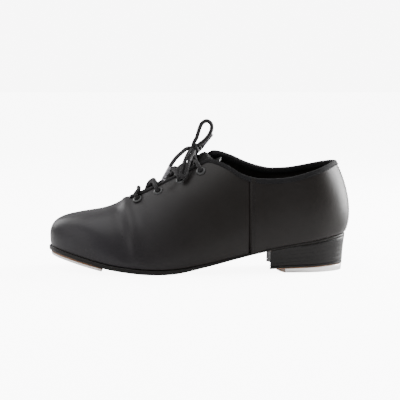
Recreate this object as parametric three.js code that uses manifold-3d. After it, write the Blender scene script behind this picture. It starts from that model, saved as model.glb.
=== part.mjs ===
// A left tap shoe: a lace-up oxford upper on a leather sole, with a toe tap and a heel tap.
// Millimetres, +Z up. The toe points to -X, the outer (lateral) side is -Y, the ground is z = 0,
// and the origin is on the ground under the middle of the shoe.
import * as THREE from 'three';
import { mergeVertices } from 'three/addons/utils/BufferGeometryUtils.js';
import Module from 'manifold-3d';

const wasm = await Module();
wasm.setup();

// ---------------------------------------------------------------- driving dimensions
const soleLength = 284.5;      // toe tip to the back of the heel, at the sole
const ballWidth = 92;          // across the upper's bottom edge, at the ball of the foot
const heelWidth = 61.5;        // across the upper's bottom edge, at the heel
const upperHeight = 117;       // ground to the roof of the instep, at the top of the facings
const toeSpring = 18.5;        // ground to the sole at the toe tip
const breastHeight = 21.8;     // ground to the sole at the front of the heel
const seatBackHeight = 33;     // ground to the sole at the back of the heel
const heelLength = 69;         // heel breast to the back of the heel
const soleForepart = 4.6;      // outsole thickness under the forefoot
const soleWaist = 3.0;         // outsole thickness under the arch
const soleSeat = 2.4;          // outsole thickness over the heel
const leather = 1.3;           // upper leather
const stiffener = 1.0;         // toe puff and heel counter
const liningCloth = 0.8;       // lining
const insoleBoard = 2.0;       // board the upper is lasted round
const sockThickness = 1.0;     // sock lining on top of the board
const shankSteel = 1.2;        // spring steel strip in the arch
const tongueThickness = 2.6;   // leather, thin foam and lining
const gap = 0.3;               // glue line between pieces that touch
const lastingMargin = 11;      // upper leather turned in under the insole
const bindingWidth = 4.0;      // tape folded over the top edge
const bindingTape = 0.7;       // thickness of that tape
const laceDiameter = 3.5;
const eyeletBore = 4.6;        // inside diameter of an eyelet
const eyeletFlange = 9.4;      // outside diameter of its rim
const eyeletSetback = 9.0;     // facing edge to the eyelet row
const tapMetal = 2.7;          // toe tap plate
const heelTapFront = 3.4;      // heel tap, at its thin front end
const heelTapRise = 0.04;      // how fast the heel tap thickens towards the back
const topLift = 2.4;           // last layer of the heel, over the tap
const soundBoard = 1.0;        // fibre board between the toe tap and the sole
const screwShank = 1.5;        // tap screw radius at the thread
const screwHead = 3.1;         // tap screw radius at the head
const screwLength = 6.0;

// ---------------------------------------------------------------- curves
// A smooth function through [x, y] points. A third number fixes the slope there.
function through(points) {
  const chord = (i) => (points[i + 1][1] - points[i][1]) / (points[i + 1][0] - points[i][0]);
  const last = points.length - 1;
  const slope = points.map((p, i) => {
    if (p.length > 2) return p[2];
    if (i === 0) return chord(0);
    if (i === last) return chord(last - 1);
    const before = p[0] - points[i - 1][0];
    const after = points[i + 1][0] - p[0];
    return (chord(i - 1) * after + chord(i) * before) / (before + after);
  });
  return (x) => {
    let i = 0;
    while (i < last - 1 && x > points[i + 1][0]) i += 1;
    const [x0, y0] = points[i];
    const [x1, y1] = points[i + 1];
    const w = x1 - x0;
    const u = (x - x0) / w;
    if (u <= 0) return y0 + slope[i] * (x - x0);
    if (u >= 1) return y1 + slope[i + 1] * (x - x1);
    const v = 1 - u;
    return y0 * v * v * (1 + 2 * u) + y1 * u * u * (3 - 2 * u)
      + w * u * v * (slope[i] * v - slope[i + 1] * u);
  };
}
const clamp = (x, low, high) => Math.min(Math.max(x, low), high);
const ease = (u) => { const c = clamp(u, 0, 1); return c * c * (3 - 2 * c); };

// ---------------------------------------------------------------- the last: stations and profiles
// p runs from 0 at the toe tip to 1 at the back of the heel, along the sole.
// s is the same station bunched towards both ends, where the outline turns.
const heelBulge = 5.6;         // how far the back swells past the sole
const toeBulge = 0.9;          // how far the toe swells past the sole
const toeX = -(soleLength + heelBulge - toeBulge) / 2;
const xOf = (p) => toeX + soleLength * p;
const pOf = (x) => (x - toeX) / soleLength;
const pOfS = (s) => (1 - Math.cos(Math.PI * s)) / 2;
const sOfP = (p) => Math.acos(1 - 2 * clamp(p, 0, 1)) / Math.PI;

// Outline of the upper's bottom edge: [station, share of a width], -Y lateral and +Y medial.
const LATERAL = -1;
const MEDIAL = 1;
const tipY = 7;
const outlineShares = {
  [LATERAL]: [[0.06, 0.218, 0], [0.15, 0.398, 0], [0.27, 0.493, 0], [0.38, 0.505, 0],
    [0.52, 0.445, 0], [0.64, 0.569, 1], [0.78, 0.52, 1], [0.9, 0.463, 1], [0.965, 0.293, 1]],
  [MEDIAL]: [[0.06, 0.337, 0], [0.15, 0.446, 0], [0.27, 0.489, 0], [0.38, 0.462, 0],
    [0.52, 0.348, 0], [0.64, 0.439, 1], [0.78, 0.48, 1], [0.9, 0.463, 1], [0.965, 0.293, 1]],
};
const outline = {};
for (const side of [LATERAL, MEDIAL]) {
  const shares = outlineShares[side];
  outline[side] = through([[0, tipY],
    ...shares.map(([p, k, atHeel]) => [sOfP(p), side * k * (atHeel ? heelWidth : ballWidth)]),
    [1, 0]]);
}

// Heights above the ground along the sole.
const ballAt = 0.37;
const tapEndAt = 0.18;         // the toe tap ends here, and the sole is flat in front of it
const breastAt = 1 - heelLength / soleLength;
const toeSlope = -0.665 * toeSpring / tapEndAt;
const soleBottomCurve = through([[0, toeSpring, toeSlope], [tapEndAt, toeSpring + toeSlope * tapEndAt,
  toeSlope],
  [0.27, 0.108 * toeSpring], [ballAt, 0, 0], [0.44, 0.05 * breastHeight], [0.52, 0.27 * breastHeight],
  [breastAt, breastHeight], [1, seatBackHeight]]);
const soleBottom = (x) => soleBottomCurve(pOf(x));
const soleThickness = through([[0, soleForepart, 0], [0.42, soleForepart, 0], [0.56, soleWaist, 0],
  [breastAt, soleSeat, 0], [1, soleSeat, 0]]);
const soleTop = (x) => soleBottom(x) + soleThickness(pOf(x));

// The roof is the top line of the last, as shares of the instep height. Behind the facings it is
// only construction: the collar cuts the walls well below it.
const roofCurve = through([[0, 0.455], [0.11, 0.478], [0.19, 0.513], [0.25, 0.578], [0.37, 0.742],
  [0.46, 0.85], [0.56, 0.993], [0.64, 1.07], [0.75, 1.14], [0.87, 1.17], [1, 1.16]]);
const roof = (x) => upperHeight * roofCurve(pOf(x));
const ridgeYCurve = through([[0, tipY], [0.2, 5.5], [0.3, 6], [0.45, 9], [0.55, 11], [0.7, 6], [0.85, 1],
  [1, 0]]);
const ridgeEnds = [toeX + 45, toeX + soleLength - 31.5];  // where the toe and heel fans meet the ridge
const ridgeBlend = 11;
const fullness = through([[0, 3.5], [0.06, 3.1], [0.15, 2.5], [0.25, 1.8], [0.33, 1.62, 0], [0.38, 1.66],
  [0.46, 1.88], [0.54, 1.9], [0.66, 2.0], [0.8, 2.1], [1, 2.1]]);
const bulge = through([[0, toeBulge + 0.6, 0], [0.3, 2.2], [0.55, 3.0], [0.8, 3.2], [1, heelBulge + 0.8,
  0]]);

const softAbove = (x, low) => low + ridgeBlend * Math.log1p(Math.exp((x - low) / ridgeBlend));
const softBelow = (x, high) => high - ridgeBlend * Math.log1p(Math.exp((high - x) / ridgeBlend));
const ridgeX = (x) => softBelow(softAbove(x, ridgeEnds[0]), ridgeEnds[1]);

// A point of the upper: t = 0 at the bottom edge and 1 at the ridge, depth d under the outer face.
function lastPoint(side, s, t, d = 0) {
  const p = pOfS(s);
  const x0 = xOf(p);
  const foot = new THREE.Vector2(x0, outline[side](s));
  const ridge = new THREE.Vector2(ridgeX(x0), ridgeYCurve(p));
  const inward = ridge.clone().sub(foot).normalize();
  foot.addScaledVector(inward, d);
  const power = 2 / fullness(p);
  const angle = clamp(t, 0, 1) * Math.PI / 2;
  const across = t >= 1 ? 1 : 1 - Math.cos(angle) ** power;
  const up = Math.sin(angle) ** power;
  // Above the counter the heel draws in again, so its swell ends half way up.
  const swellTop = 1 - 0.5 * ease((p - 0.84) / 0.16);
  const swell = bulge(p) * Math.sin(Math.PI * clamp(t / swellTop, 0, 1) ** 0.6);
  const x = foot.x + (ridge.x - foot.x) * across - inward.x * swell;
  const y = foot.y + (ridge.y - foot.y) * across - inward.y * swell;
  const zFoot = soleTop(x0) + gap + d;
  return new THREE.Vector3(x, y, zFoot + (roof(x) - d - zFoot) * up);
}

// The smallest t at which a measure of the surface reaches a value, found by halving.
function findT(measure, value) {
  let low = 0;
  let high = 1;
  for (let i = 0; i < 40; i += 1) {
    const mid = (low + high) / 2;
    if (measure(mid) < value) low = mid;
    else high = mid;
  }
  return (low + high) / 2;
}

// ---------------------------------------------------------------- the throat and the collar
const throatAt = 0.252;        // station where the facings part
const facingTopAt = { [LATERAL]: 0.526, [MEDIAL]: 0.552 };
const throatY = through([[0.2, 5.5], [0.3, 5.5], [0.4, 5], [0.6, 4]]);
const throatHalf = through([[throatAt, 0], [0.275, 5.2], [0.31, 8.6], [0.4, 10, 0], [0.6, 10.6]]);
const collarShares = {
  [LATERAL]: [[0.5, 0.918], [0.57, 0.9], [0.603, 0.868], [0.643, 0.81], [0.69, 0.77], [0.74, 0.761, 0],
    [0.81, 0.772], [0.885, 0.82], [0.945, 0.868], [1, 0.898, 0]],
  [MEDIAL]: [[0.52, 0.975], [0.575, 0.965], [0.624, 0.925], [0.666, 0.878], [0.71, 0.842], [0.76, 0.82, 0],
    [0.82, 0.826], [0.885, 0.853], [0.945, 0.882], [1, 0.898, 0]],
};
const collarCurve = { [LATERAL]: through(collarShares[LATERAL]), [MEDIAL]: through(collarShares[MEDIAL]) };

// Where the top edge lies at a station, as t. Every layer is cut at the same t, square to the wall.
function topEdge(side, s) {
  const p = pOfS(s);
  if (p <= throatAt) return 1;
  const spread = Math.abs(throatY(p) + side * throatHalf(p) - ridgeYCurve(p));
  const facing = () => findT((t) => -Math.abs(lastPoint(side, s, t).y - ridgeYCurve(p)), -spread);
  const collar = () => findT((t) => lastPoint(side, s, t).z, upperHeight * collarCurve[side](p));
  if (p < 0.48) return facing();
  return p > 0.62 ? collar() : Math.min(facing(), collar());
}

// ---------------------------------------------------------------- mesh helpers
// Vertices merged, faces with no area dropped, and the rest turned to face out.
function tidy(geometry) {
  const bare = geometry.clone();
  for (const name of ['normal', 'uv']) if (bare.getAttribute(name)) bare.deleteAttribute(name);
  const merged = mergeVertices(bare, 1e-3);
  const points = merged.getAttribute('position');
  const corner = (i) => new THREE.Vector3().fromBufferAttribute(points, i);
  const kept = [];
  let volume = 0;
  for (let i = 0; i < merged.index.count; i += 3) {
    const [a, b, c] = [0, 1, 2].map((k) => merged.index.getX(i + k));
    if (a === b || b === c || a === c) continue;
    kept.push([a, b, c]);
    volume += corner(a).dot(corner(b).cross(corner(c)));
  }
  merged.setIndex(kept.flatMap(([a, b, c]) => (volume > 0 ? [a, b, c] : [a, c, b])));
  return merged;
}
function closedMesh(vertices, faces) {
  const geometry = new THREE.BufferGeometry();
  geometry.setAttribute('position', new THREE.Float32BufferAttribute(vertices.flatMap((v) => [v.x, v.y,
    v.z]), 3));
  geometry.setIndex(faces);
  return tidy(geometry);
}
const quad = (faces, a, b, c, d) => faces.push(a, b, c, a, c, d);

// Shares of the way up the wall. The last but one is where the tape round the top edge ends.
const rowShares = [0, 0.12, 0.26, 0.42, 0.58, 0.74, 0.88, 1];
function tapeRow(side, s) {
  const t1 = topEdge(side, s);
  const step = lastPoint(side, s, t1).distanceTo(lastPoint(side, s, t1 - 0.02));
  return t1 < 1 ? 1 - (bindingWidth / step) * (0.02 / t1) : rowShares[6];
}
const rowsOf = (side, s) => rowShares.map((r, i) => (i === 6 ? tapeRow(side, s) : r));

// A shell between an outer and an inner face. Columns are {side, s}; rows are shares of the way up.
// Columns whose top edge is the ridge share it with the column across, so the toe closes by itself.
function shell({ columns, rows = [0, 7], outer, inner, margin = 0 }) {
  const vertices = [];
  const faces = [];
  const grid = [outer, inner].map((layer) => columns.map(({ side, s }) => {
    const p = pOfS(s);
    const depth = (r) => (typeof layer === 'function' ? layer(p, r) : layer);
    const t1 = topEdge(side, s);
    const column = rowsOf(side, s).slice(rows[0], rows[1] + 1)
      .map((r) => lastPoint(side, s, t1 * r, depth(r)));
    if (margin) {
      const turned = outlineEdge(margin)(side, s);
      column.unshift(new THREE.Vector3(turned.x, turned.y, soleTop(turned.x) + gap + layer));
    }
    column.closed = t1 >= 1;
    return column.map((v) => vertices.push(v) - 1).concat(column.closed ? 'closed' : 'open');
  }));
  const count = grid[0][0].length - 1;
  const isClosed = (j) => grid[0][j][count] === 'closed';
  for (let j = 0; j + 1 < columns.length; j += 1) {
    for (let i = 0; i + 1 < count; i += 1) {
      quad(faces, grid[0][j][i], grid[0][j + 1][i], grid[0][j + 1][i + 1], grid[0][j][i + 1]);
      quad(faces, grid[1][j][i], grid[1][j][i + 1], grid[1][j + 1][i + 1], grid[1][j + 1][i]);
    }
    quad(faces, grid[1][j][0], grid[1][j + 1][0], grid[0][j + 1][0], grid[0][j][0]);
    if (!(isClosed(j) && isClosed(j + 1))) {
      const k = count - 1;
      quad(faces, grid[0][j][k], grid[0][j + 1][k], grid[1][j + 1][k], grid[1][j][k]);
    }
  }
  for (const [j, flip] of [[0, false], [columns.length - 1, true]]) {
    for (let i = 0; i + 1 < count; i += 1) {
      const ring = [grid[0][j][i], grid[0][j][i + 1], grid[1][j][i + 1], grid[1][j][i]];
      if (flip) ring.reverse();
      quad(faces, ...ring);
    }
  }
  return closedMesh(vertices, faces);
}

// Columns that run from one side, round the toe or the heel, to the other side.
function roundColumns(from, to, steps, pointEnd) {
  const lateral = [];
  const medial = [];
  for (let i = 0; i <= steps; i += 1) {
    const s = from + (to - from) * (i / steps);
    lateral.push({ side: LATERAL, s });
    if (i > 0) medial.push({ side: MEDIAL, s });
  }
  return pointEnd === 'toe' ? [...lateral.reverse(), ...medial] : [...medial.reverse(), ...lateral];
}
const evenly = (n) => Array.from({ length: n + 1 }, (_, i) => i / n);

// A slab between two heights, inside an outline that may stop short of either end.
function slab({ from, to, steps, edge, edgeTop = edge, bottom, topOf }) {
  const vertices = [];
  const faces = [];
  const rings = [];
  for (let i = 0; i <= steps; i += 1) {
    const s = from + (to - from) * (i / steps);
    const corners = [[edge, LATERAL, bottom], [edge, MEDIAL, bottom], [edgeTop, MEDIAL, topOf], [edgeTop,
      LATERAL, topOf]];
    const ring = corners.map(([outlineOf, side, height]) => [outlineOf(side, s), height])
      .map(([q, height]) => vertices.push(new THREE.Vector3(q.x, q.y, height(q.x))) - 1);
    rings.push(ring);
  }
  for (let i = 0; i + 1 < rings.length; i += 1) {
    for (let k = 0; k < 4; k += 1) {
      const n = (k + 1) % 4;
      quad(faces, rings[i][k], rings[i + 1][k], rings[i + 1][n], rings[i][n]);
    }
  }
  quad(faces, ...rings[0]);
  quad(faces, ...[...rings[steps]].reverse());
  return closedMesh(vertices, faces);
}

// A point on the outline, moved in towards the ridge by an inset.
function outlineEdge(inset) {
  return (side, s) => {
    const p = pOfS(s);
    const foot = new THREE.Vector2(xOf(p), outline[side](s));
    const ridge = new THREE.Vector2(ridgeX(foot.x), ridgeYCurve(p));
    const inward = ridge.clone().sub(foot).normalize();
    return foot.addScaledVector(inward, typeof inset === 'function' ? inset(p, side) : inset);
  };
}

function toSolid(geometry) {
  const merged = tidy(geometry);
  return new wasm.Manifold(new wasm.Mesh({
    numProp: 3,
    vertProperties: new Float32Array(merged.getAttribute('position').array),
    triVerts: new Uint32Array(merged.index.array),
  }));
}
function toGeometry(solid) {
  const mesh = solid.getMesh();
  const geometry = new THREE.BufferGeometry();
  geometry.setAttribute('position', new THREE.BufferAttribute(mesh.vertProperties, 3));
  geometry.setIndex(new THREE.BufferAttribute(mesh.triVerts, 1));
  return tidy(geometry);
}
function cut(geometry, tools) {
  return toGeometry(tools.reduce((solid, tool) => solid.subtract(toSolid(tool)), toSolid(geometry)));
}

// A cylinder along a direction, from one point to another.
function rod(from, to, radius, sides = 10) {
  const axis = to.clone().sub(from);
  const geometry = new THREE.CylinderGeometry(radius, radius, axis.length(), sides);
  const turn = new THREE.Quaternion().setFromUnitVectors(new THREE.Vector3(0, 1, 0),
    axis.clone().normalize());
  return geometry.applyQuaternion(turn).translate(...from.clone().add(to).divideScalar(2).toArray());
}
const at = (x, y, z) => new THREE.Vector3(x, y, z);

// ---------------------------------------------------------------- materials
const finish = (color, roughness, metalness = 0) => new THREE.MeshStandardMaterial({ color, roughness,
  metalness });
const blackLeather = finish(0x221f1f, 0.42);
const blackCloth = finish(0x0d0c0c, 0.9);
const blackEnamel = finish(0x1a1a1c, 0.3, 0.6);
const blackEdge = finish(0x1c1918, 0.5);
const tanLeather = finish(0xa9764a, 0.7);
const fibreBoard = finish(0x9c6b42, 0.85);
const castAluminium = finish(0xd6d5d3, 0.32, 1);
const steel = finish(0xb9bac0, 0.3, 1);
const boardMaterial = finish(0xb59f7d, 0.9);
const laceMaterial = finish(0x100e10, 0.75);
const clearPlastic = finish(0xb9b6ba, 0.15);

const shoe = new THREE.Group();
function add(name, geometry, material, parent = shoe) {
  const mesh = new THREE.Mesh(geometry, material);
  mesh.name = name;
  parent.add(mesh);
  return mesh;
}

// ---------------------------------------------------------------- depths of the layers
const underLeather = leather + gap;
const underStiffener = underLeather + stiffener + gap;
// The lining lies against the leather, except where the toe puff and the heel counter part them.
const puffEnd = 0.16;
const counterStart = 0.8;
function liningFace(p, r) {
  const atToe = 1 - ease((p - puffEnd - 0.01) / 0.06);
  const atHeel = ease((p - counterStart + 0.08) / 0.06) * (1 - ease((r - 0.76) / 0.14));
  return underLeather + (underStiffener - underLeather) * Math.max(atToe, atHeel);
}
const liningBack = (p, r) => liningFace(p, r) + liningCloth;
const wall = underLeather + liningCloth;               // leather and lining together
const boardFrom = leather + 2 * gap;                   // the board sits on the turned-in margin
const sockFrom = boardFrom + insoleBoard + gap;
const boardInset = underStiffener + liningCloth + 0.5;
const seamAt = 0.682;                                  // side seam between the front and the back
const seamS = sOfP(seamAt);
const seamHalf = 0.11 / soleLength;

// ---------------------------------------------------------------- eyelets
const eyeletStations = [0.3, 0.371, 0.446, 0.515];
// The frame of the outer face at a place: its point, its outward normal and the way to the throat.
function faceAt(side, p, y) {
  const s = sOfP(p);
  const ridge = ridgeYCurve(p);
  const t = findT((u) => -Math.abs(lastPoint(side, s, u).y - ridge), -Math.abs(y - ridge));
  const point = lastPoint(side, s, t);
  const alongShoe = lastPoint(side, s + 1e-3, t).sub(lastPoint(side, s - 1e-3, t));
  const toThroat = lastPoint(side, s, Math.min(t + 1e-3, 1)).sub(lastPoint(side, s, t - 1e-3)).normalize();
  const normal = alongShoe.cross(toThroat).multiplyScalar(-side).normalize();
  return { point, normal, toThroat };
}
const eyeletPlaces = [];
for (const side of [LATERAL, MEDIAL]) {
  eyeletStations.forEach((p, i) => {
    const y = throatY(p) + side * (throatHalf(p) + eyeletSetback);
    eyeletPlaces.push({ side, number: i + 1, p, y, ...faceAt(side, p, y) });
  });
}
const eyeletHole = eyeletBore / 2 + 0.4 + 0.4;
const eyeletDrills = eyeletPlaces.map(({ point, normal }) => rod(
  point.clone().addScaledVector(normal, 4),
  point.clone().addScaledVector(normal, -wall - 4),
  eyeletHole,
));
function eyeletGeometry() {
  const bore = eyeletBore / 2;
  const barrel = bore + 0.4;
  const rim = eyeletFlange / 2;
  const lift = 0.5;
  const back = -wall - 0.9;
  const profile = [[bore, back - 0.4], [bore, 0.7], [bore + 0.8, 1.15], [rim - 0.5, 0.95], [rim, lift],
    [barrel, lift], [barrel, back], [rim - 1.4, back], [rim - 1.4, back - 0.4], [bore, back - 0.4]];
  return new THREE.LatheGeometry(profile.map(([r, h]) => new THREE.Vector2(r, h)), 12);
}

// ---------------------------------------------------------------- upper
// Evenly spaced stations, with the nearest ones moved on to the places that matter.
function stations(from, to, steps, exact = []) {
  const list = evenly(steps).map((u) => from + (to - from) * u);
  for (const place of exact) {
    const nearest = list.reduce((best, s,
      i) => (Math.abs(s - place) < Math.abs(list[best] - place) ? i : best), 0);
    if (nearest > 0 && nearest < steps) list[nearest] = place;
  }
  return list;
}
function columnsFrom(lateralStations, medialStations, end) {
  const lateral = lateralStations.map((s) => ({ side: LATERAL, s }));
  const medial = medialStations.slice(1).map((s) => ({ side: MEDIAL, s }));
  return end === 'toe' ? [...lateral.reverse(), ...medial] : [...medial.reverse(), ...lateral];
}
const frontEnd = seamS - seamHalf * 2;
const backEnd = seamS + seamHalf * 2;
const frontStations = (side) => stations(0, frontEnd, 21, [throatAt, 0.27, facingTopAt[side],
  facingTopAt[side] + 0.026].map(sOfP));
const frontColumns = columnsFrom(frontStations(LATERAL), frontStations(MEDIAL), 'toe');
const backGap = 0.0014;

add('vamp', cut(shell({ columns: frontColumns, outer: 0, inner: leather, margin: lastingMargin }),
  eyeletDrills),
  blackLeather);
add('vamp_lining', cut(shell({ columns: frontColumns, outer: liningFace, inner: liningBack }),
  eyeletDrills),
  blackCloth);
const backSteps = 11;
for (const [name, side] of [['quarter_lateral', LATERAL], ['quarter_medial', MEDIAL]]) {
  const columns = stations(backEnd, 1, backSteps).map((s) => ({ side, s: Math.min(s, 1 - backGap) }));
  add(name, shell({ columns, outer: 0, inner: leather, margin: lastingMargin }), blackLeather);
}
const backStations = stations(1, backEnd, backSteps);
add('quarter_lining', shell({
  columns: columnsFrom(backStations, backStations, 'heel'), outer: liningFace, inner: liningBack,
}), blackCloth);
const stiff = { outer: underLeather, inner: underLeather + stiffener };
const puffStations = (side) => frontStations(side).filter((s) => pOfS(s) < puffEnd);
add('toe_puff', shell({
  columns: columnsFrom(puffStations(LATERAL), puffStations(MEDIAL), 'toe'), rows: [1, 7], ...stiff,
}), boardMaterial);
const counterStations = backStations.filter((s) => pOfS(s) > counterStart - 0.015);
add('heel_counter', shell({
  columns: columnsFrom(counterStations, counterStations, 'heel'), rows: [1, 5], ...stiff,
}), boardMaterial);

// ---------------------------------------------------------------- binding round the throat and collar
// One folded tape: a U section that straddles the leather and the lining, swept along the edge.
const bindingStart = 0.27;
const collarStations = (side) => [...backStations,
  ...frontStations(side).filter((s) => pOfS(s) > bindingStart - 1e-6).reverse()];
const bindingColumns = columnsFrom(collarStations(LATERAL), collarStations(MEDIAL), 'heel');
function bindingSection({ side, s }) {
  const t1 = topEdge(side, s);
  const up = lastPoint(side, s, t1).sub(lastPoint(side, s, t1 - 0.02)).normalize();
  const place = (depth, h) => lastPoint(side, s, t1, depth).addScaledVector(up, h);
  const leg = (depth) => lastPoint(side, s, t1 * tapeRow(side, s), depth);
  const outside = -gap - bindingTape;
  const inside = wall + gap + bindingTape;
  const clear = 0.5;
  const top = clear + bindingTape;
  return [leg(outside), place(outside, 0.2), place(0.3, top), place(wall - 0.3, top), place(inside, 0.2),
    leg(inside), leg(inside - bindingTape), place(wall + gap, clear), place(-gap, clear), leg(-gap)];
}
// Rings joined into a tube. A face at an index in crossed is split along its other diagonal.
function sweepSections(sections, crossed = []) {
  const vertices = [];
  const faces = [];
  const rings = sections.map((section) => section.map((v) => vertices.push(v) - 1));
  const n = rings[0].length;
  for (let j = 0; j + 1 < rings.length; j += 1) {
    for (let i = 0; i < n; i += 1) {
      const k = (i + 1) % n;
      const corners = [rings[j][i], rings[j + 1][i], rings[j + 1][k], rings[j][k]];
      if (crossed.includes(i)) corners.push(corners.shift());
      quad(faces, ...corners);
    }
  }
  return { vertices, faces, rings };
}
const binding = sweepSections(bindingColumns.map(bindingSection), [7, 8]);
const capPairs = [[0, 9, 8, 1], [1, 8, 8, 2], [2, 8, 7, 3], [3, 7, 7, 4], [4, 7, 6, 5]];
const lastRing = binding.rings.length - 1;
for (const [ring, flip] of [[binding.rings[0], true], [binding.rings[lastRing], false]]) {
  for (const cap of capPairs) {
    const corners = cap.map((i) => ring[i]);
    if (flip) corners.reverse();
    quad(binding.faces, ...corners);
  }
}
add('topline_binding', closedMesh(binding.vertices, binding.faces), blackCloth);

// ---------------------------------------------------------------- tongue
const laceDepth = wall + 1.3 + laceDiameter / 2 + 0.7;  // centre of a lace that runs inside
const tongueFace = (laceDepth + laceDiameter / 2 + 0.5) / 0.76;  // measured down, on a slope
const tongueFrom = 0.228;
const tongueTo = 0.585;
function skinPoint(p, y, d) {
  const s = sOfP(p);
  const ridge = ridgeYCurve(p);
  const side = y < ridge ? LATERAL : MEDIAL;
  const t = findT((u) => -Math.abs(lastPoint(side, s, u, d).y - ridge), -Math.abs(y - ridge));
  return lastPoint(side, s, t, d);
}
// How far down each wall the tongue's edges reach, as t.
const tongueEdge = through([[tongueFrom, 0.8], [0.3, 0.73], [0.42, 0.65], [0.54, 0.62, 0], [0.57, 0.68],
  [tongueTo, 0.78]]);
const tongueSections = evenly(12).map((u) => {
  const p = tongueFrom + (tongueTo - tongueFrom) * u;
  const layer = (depth) => evenly(8).map((v) => {
    const t = 1 - (1 - tongueEdge(p)) * Math.abs(2 * v - 1);
    return lastPoint(v < 0.5 ? LATERAL : MEDIAL, sOfP(p), t, depth);
  });
  return [...layer(tongueFace), ...layer(tongueFace + tongueThickness).reverse()];
});
const tongueMesh = sweepSections(tongueSections);
for (const [ring, flip] of [[tongueMesh.rings[0], false], [tongueMesh.rings[12], true]]) {
  for (let i = 0; i < 8; i += 1) {
    const corners = [ring[i], ring[i + 1], ring[16 - i], ring[17 - i]];
    if (flip) corners.reverse();
    quad(tongueMesh.faces, ...corners);
  }
}
add('tongue', closedMesh(tongueMesh.vertices, tongueMesh.faces), blackLeather);

// ---------------------------------------------------------------- bottom: boards, filler, shank, sole
const above = (offset) => (x) => soleTop(x) + offset;
const below = (offset) => (x) => soleBottom(x) - offset;
const tipS = 0.022;
const nailHead = 2.0;
const nailShank = 0.9;
const nailPlaces = [[0.81, -9], [0.81, 9], [0.9, -10], [0.9, 10]];
const lathe = (profile, sides = 12) => tidy(new THREE.LatheGeometry(profile.map(([r,
  h]) => new THREE.Vector2(r, h)), sides));
const pin = (head, shank, headDepth, length, spare = 0) => lathe([[0, -length - spare], [shank + spare,
  -length - spare],
  [shank + spare, -headDepth - spare], [head + spare, -spare * 2], [head + spare, spare], [0, spare]], 10)
  .rotateX(Math.PI / 2);
function nailAt([p, y], spare) {
  const x = xOf(p);
  return pin(nailHead, nailShank, 0.9, 18, spare).translate(x, y,
    soleTop(x) + boardFrom + insoleBoard - 0.2);
}
const nailHoles = nailPlaces.map((place) => nailAt(place, gap));
const shankWidth = 7;

add('insole_board', cut(slab({
  from: tipS, to: 1 - tipS, steps: 24, edge: outlineEdge(boardInset), bottom: above(boardFrom),
  topOf: above(boardFrom + insoleBoard),
}), nailHoles), boardMaterial);
add('sock_lining', slab({
  from: tipS, to: 1 - tipS, steps: 24, edge: outlineEdge(boardInset), bottom: above(sockFrom),
  topOf: above(sockFrom + sockThickness),
}), blackCloth);
add('bottom_filler', slab({
  from: sOfP(0.065), to: sOfP(0.47), steps: 10, edge: outlineEdge(lastingMargin + 1), bottom: above(gap),
  topOf: above(leather),
}), fibreBoard);
add('shank', slab({
  from: sOfP(0.49), to: sOfP(0.79), steps: 8,
  edge: (side, s) => new THREE.Vector2(xOf(pOfS(s)), ridgeYCurve(pOfS(s)) * 0.5 + side * shankWidth),
  bottom: above(gap), topOf: above(gap + shankSteel),
}), steel);

const soleLedge = through([[0, 1.6, 0], [0.3, 1.9, 0], [0.5, 0.5, 0], [0.7, -0.7, 0], [0.86, -0.2], [1, 1.6, 0]]);
const heelInset = through([[0.7, 0.9, 0], [0.86, 0.5], [1, -1.4]]);
const heelDraft = through([[0.7, 1.1, 0], [1, 2.3]]);   // how much smaller the heel is at its foot
const toeTapPlaces = [[0.035, 0], [0.135, -22], [0.135, 24]];
const heelTapPlaces = [[0.94, 0], [0.83, -15], [0.83, 15]];
const tapTilt = Math.atan(-toeSlope / soleLength);
const toeTapTop = gap + soundBoard + gap;
const heelTapTop = (x) => heelTapFront + heelTapRise * (x - xOf(breastAt));
const liftBottom = (x) => heelTapTop(x) + gap;
const liftTop = (x) => liftBottom(x) + topLift;
function screwAt([p, y], spare, atToe) {
  const x = xOf(p);
  const z = atToe ? soleBottom(x) - toeTapTop - tapMetal + 0.25 : 0.4;
  const screw = pin(screwHead, screwShank, 1.7, atToe ? screwLength : screwLength + 5,
    spare).rotateX(Math.PI);
  return (atToe ? screw.rotateY(tapTilt) : screw).translate(x, y, z);
}
const toeScrewY = (p, y) => ridgeYCurve(p) + y;
const toeScrews = toeTapPlaces.map(([p, y]) => [p, toeScrewY(p, y)]);
const toeHoles = toeScrews.map((place) => screwAt(place, 0.25, true));
const heelHoles = heelTapPlaces.map((place) => screwAt(place, 0.25, false));

add('outsole', cut(slab({
  from: tipS, to: 1 - tipS, steps: 30, edge: outlineEdge((p) => -soleLedge(p)), bottom: below(0),
    topOf: above(0),
}), [...toeHoles, ...nailHoles]), blackEdge);
const tapInset = through([[0, 0.2, 0], [0.1, 1.5], [tapEndAt, 5]]);
add('toe_soundboard', cut(slab({
  from: tipS, to: sOfP(tapEndAt + 0.006), steps: 8, edge: outlineEdge((p) => tapInset(p) + 0.4),
  bottom: below(gap + soundBoard), topOf: below(gap),
}), toeHoles), fibreBoard);
add('toe_tap', cut(slab({
  from: tipS, to: sOfP(tapEndAt), steps: 8, edge: outlineEdge((p) => tapInset(p) + 0.9),
  edgeTop: outlineEdge(tapInset), bottom: below(toeTapTop + tapMetal), topOf: below(toeTapTop),
}), toeHoles), castAluminium);

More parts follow.
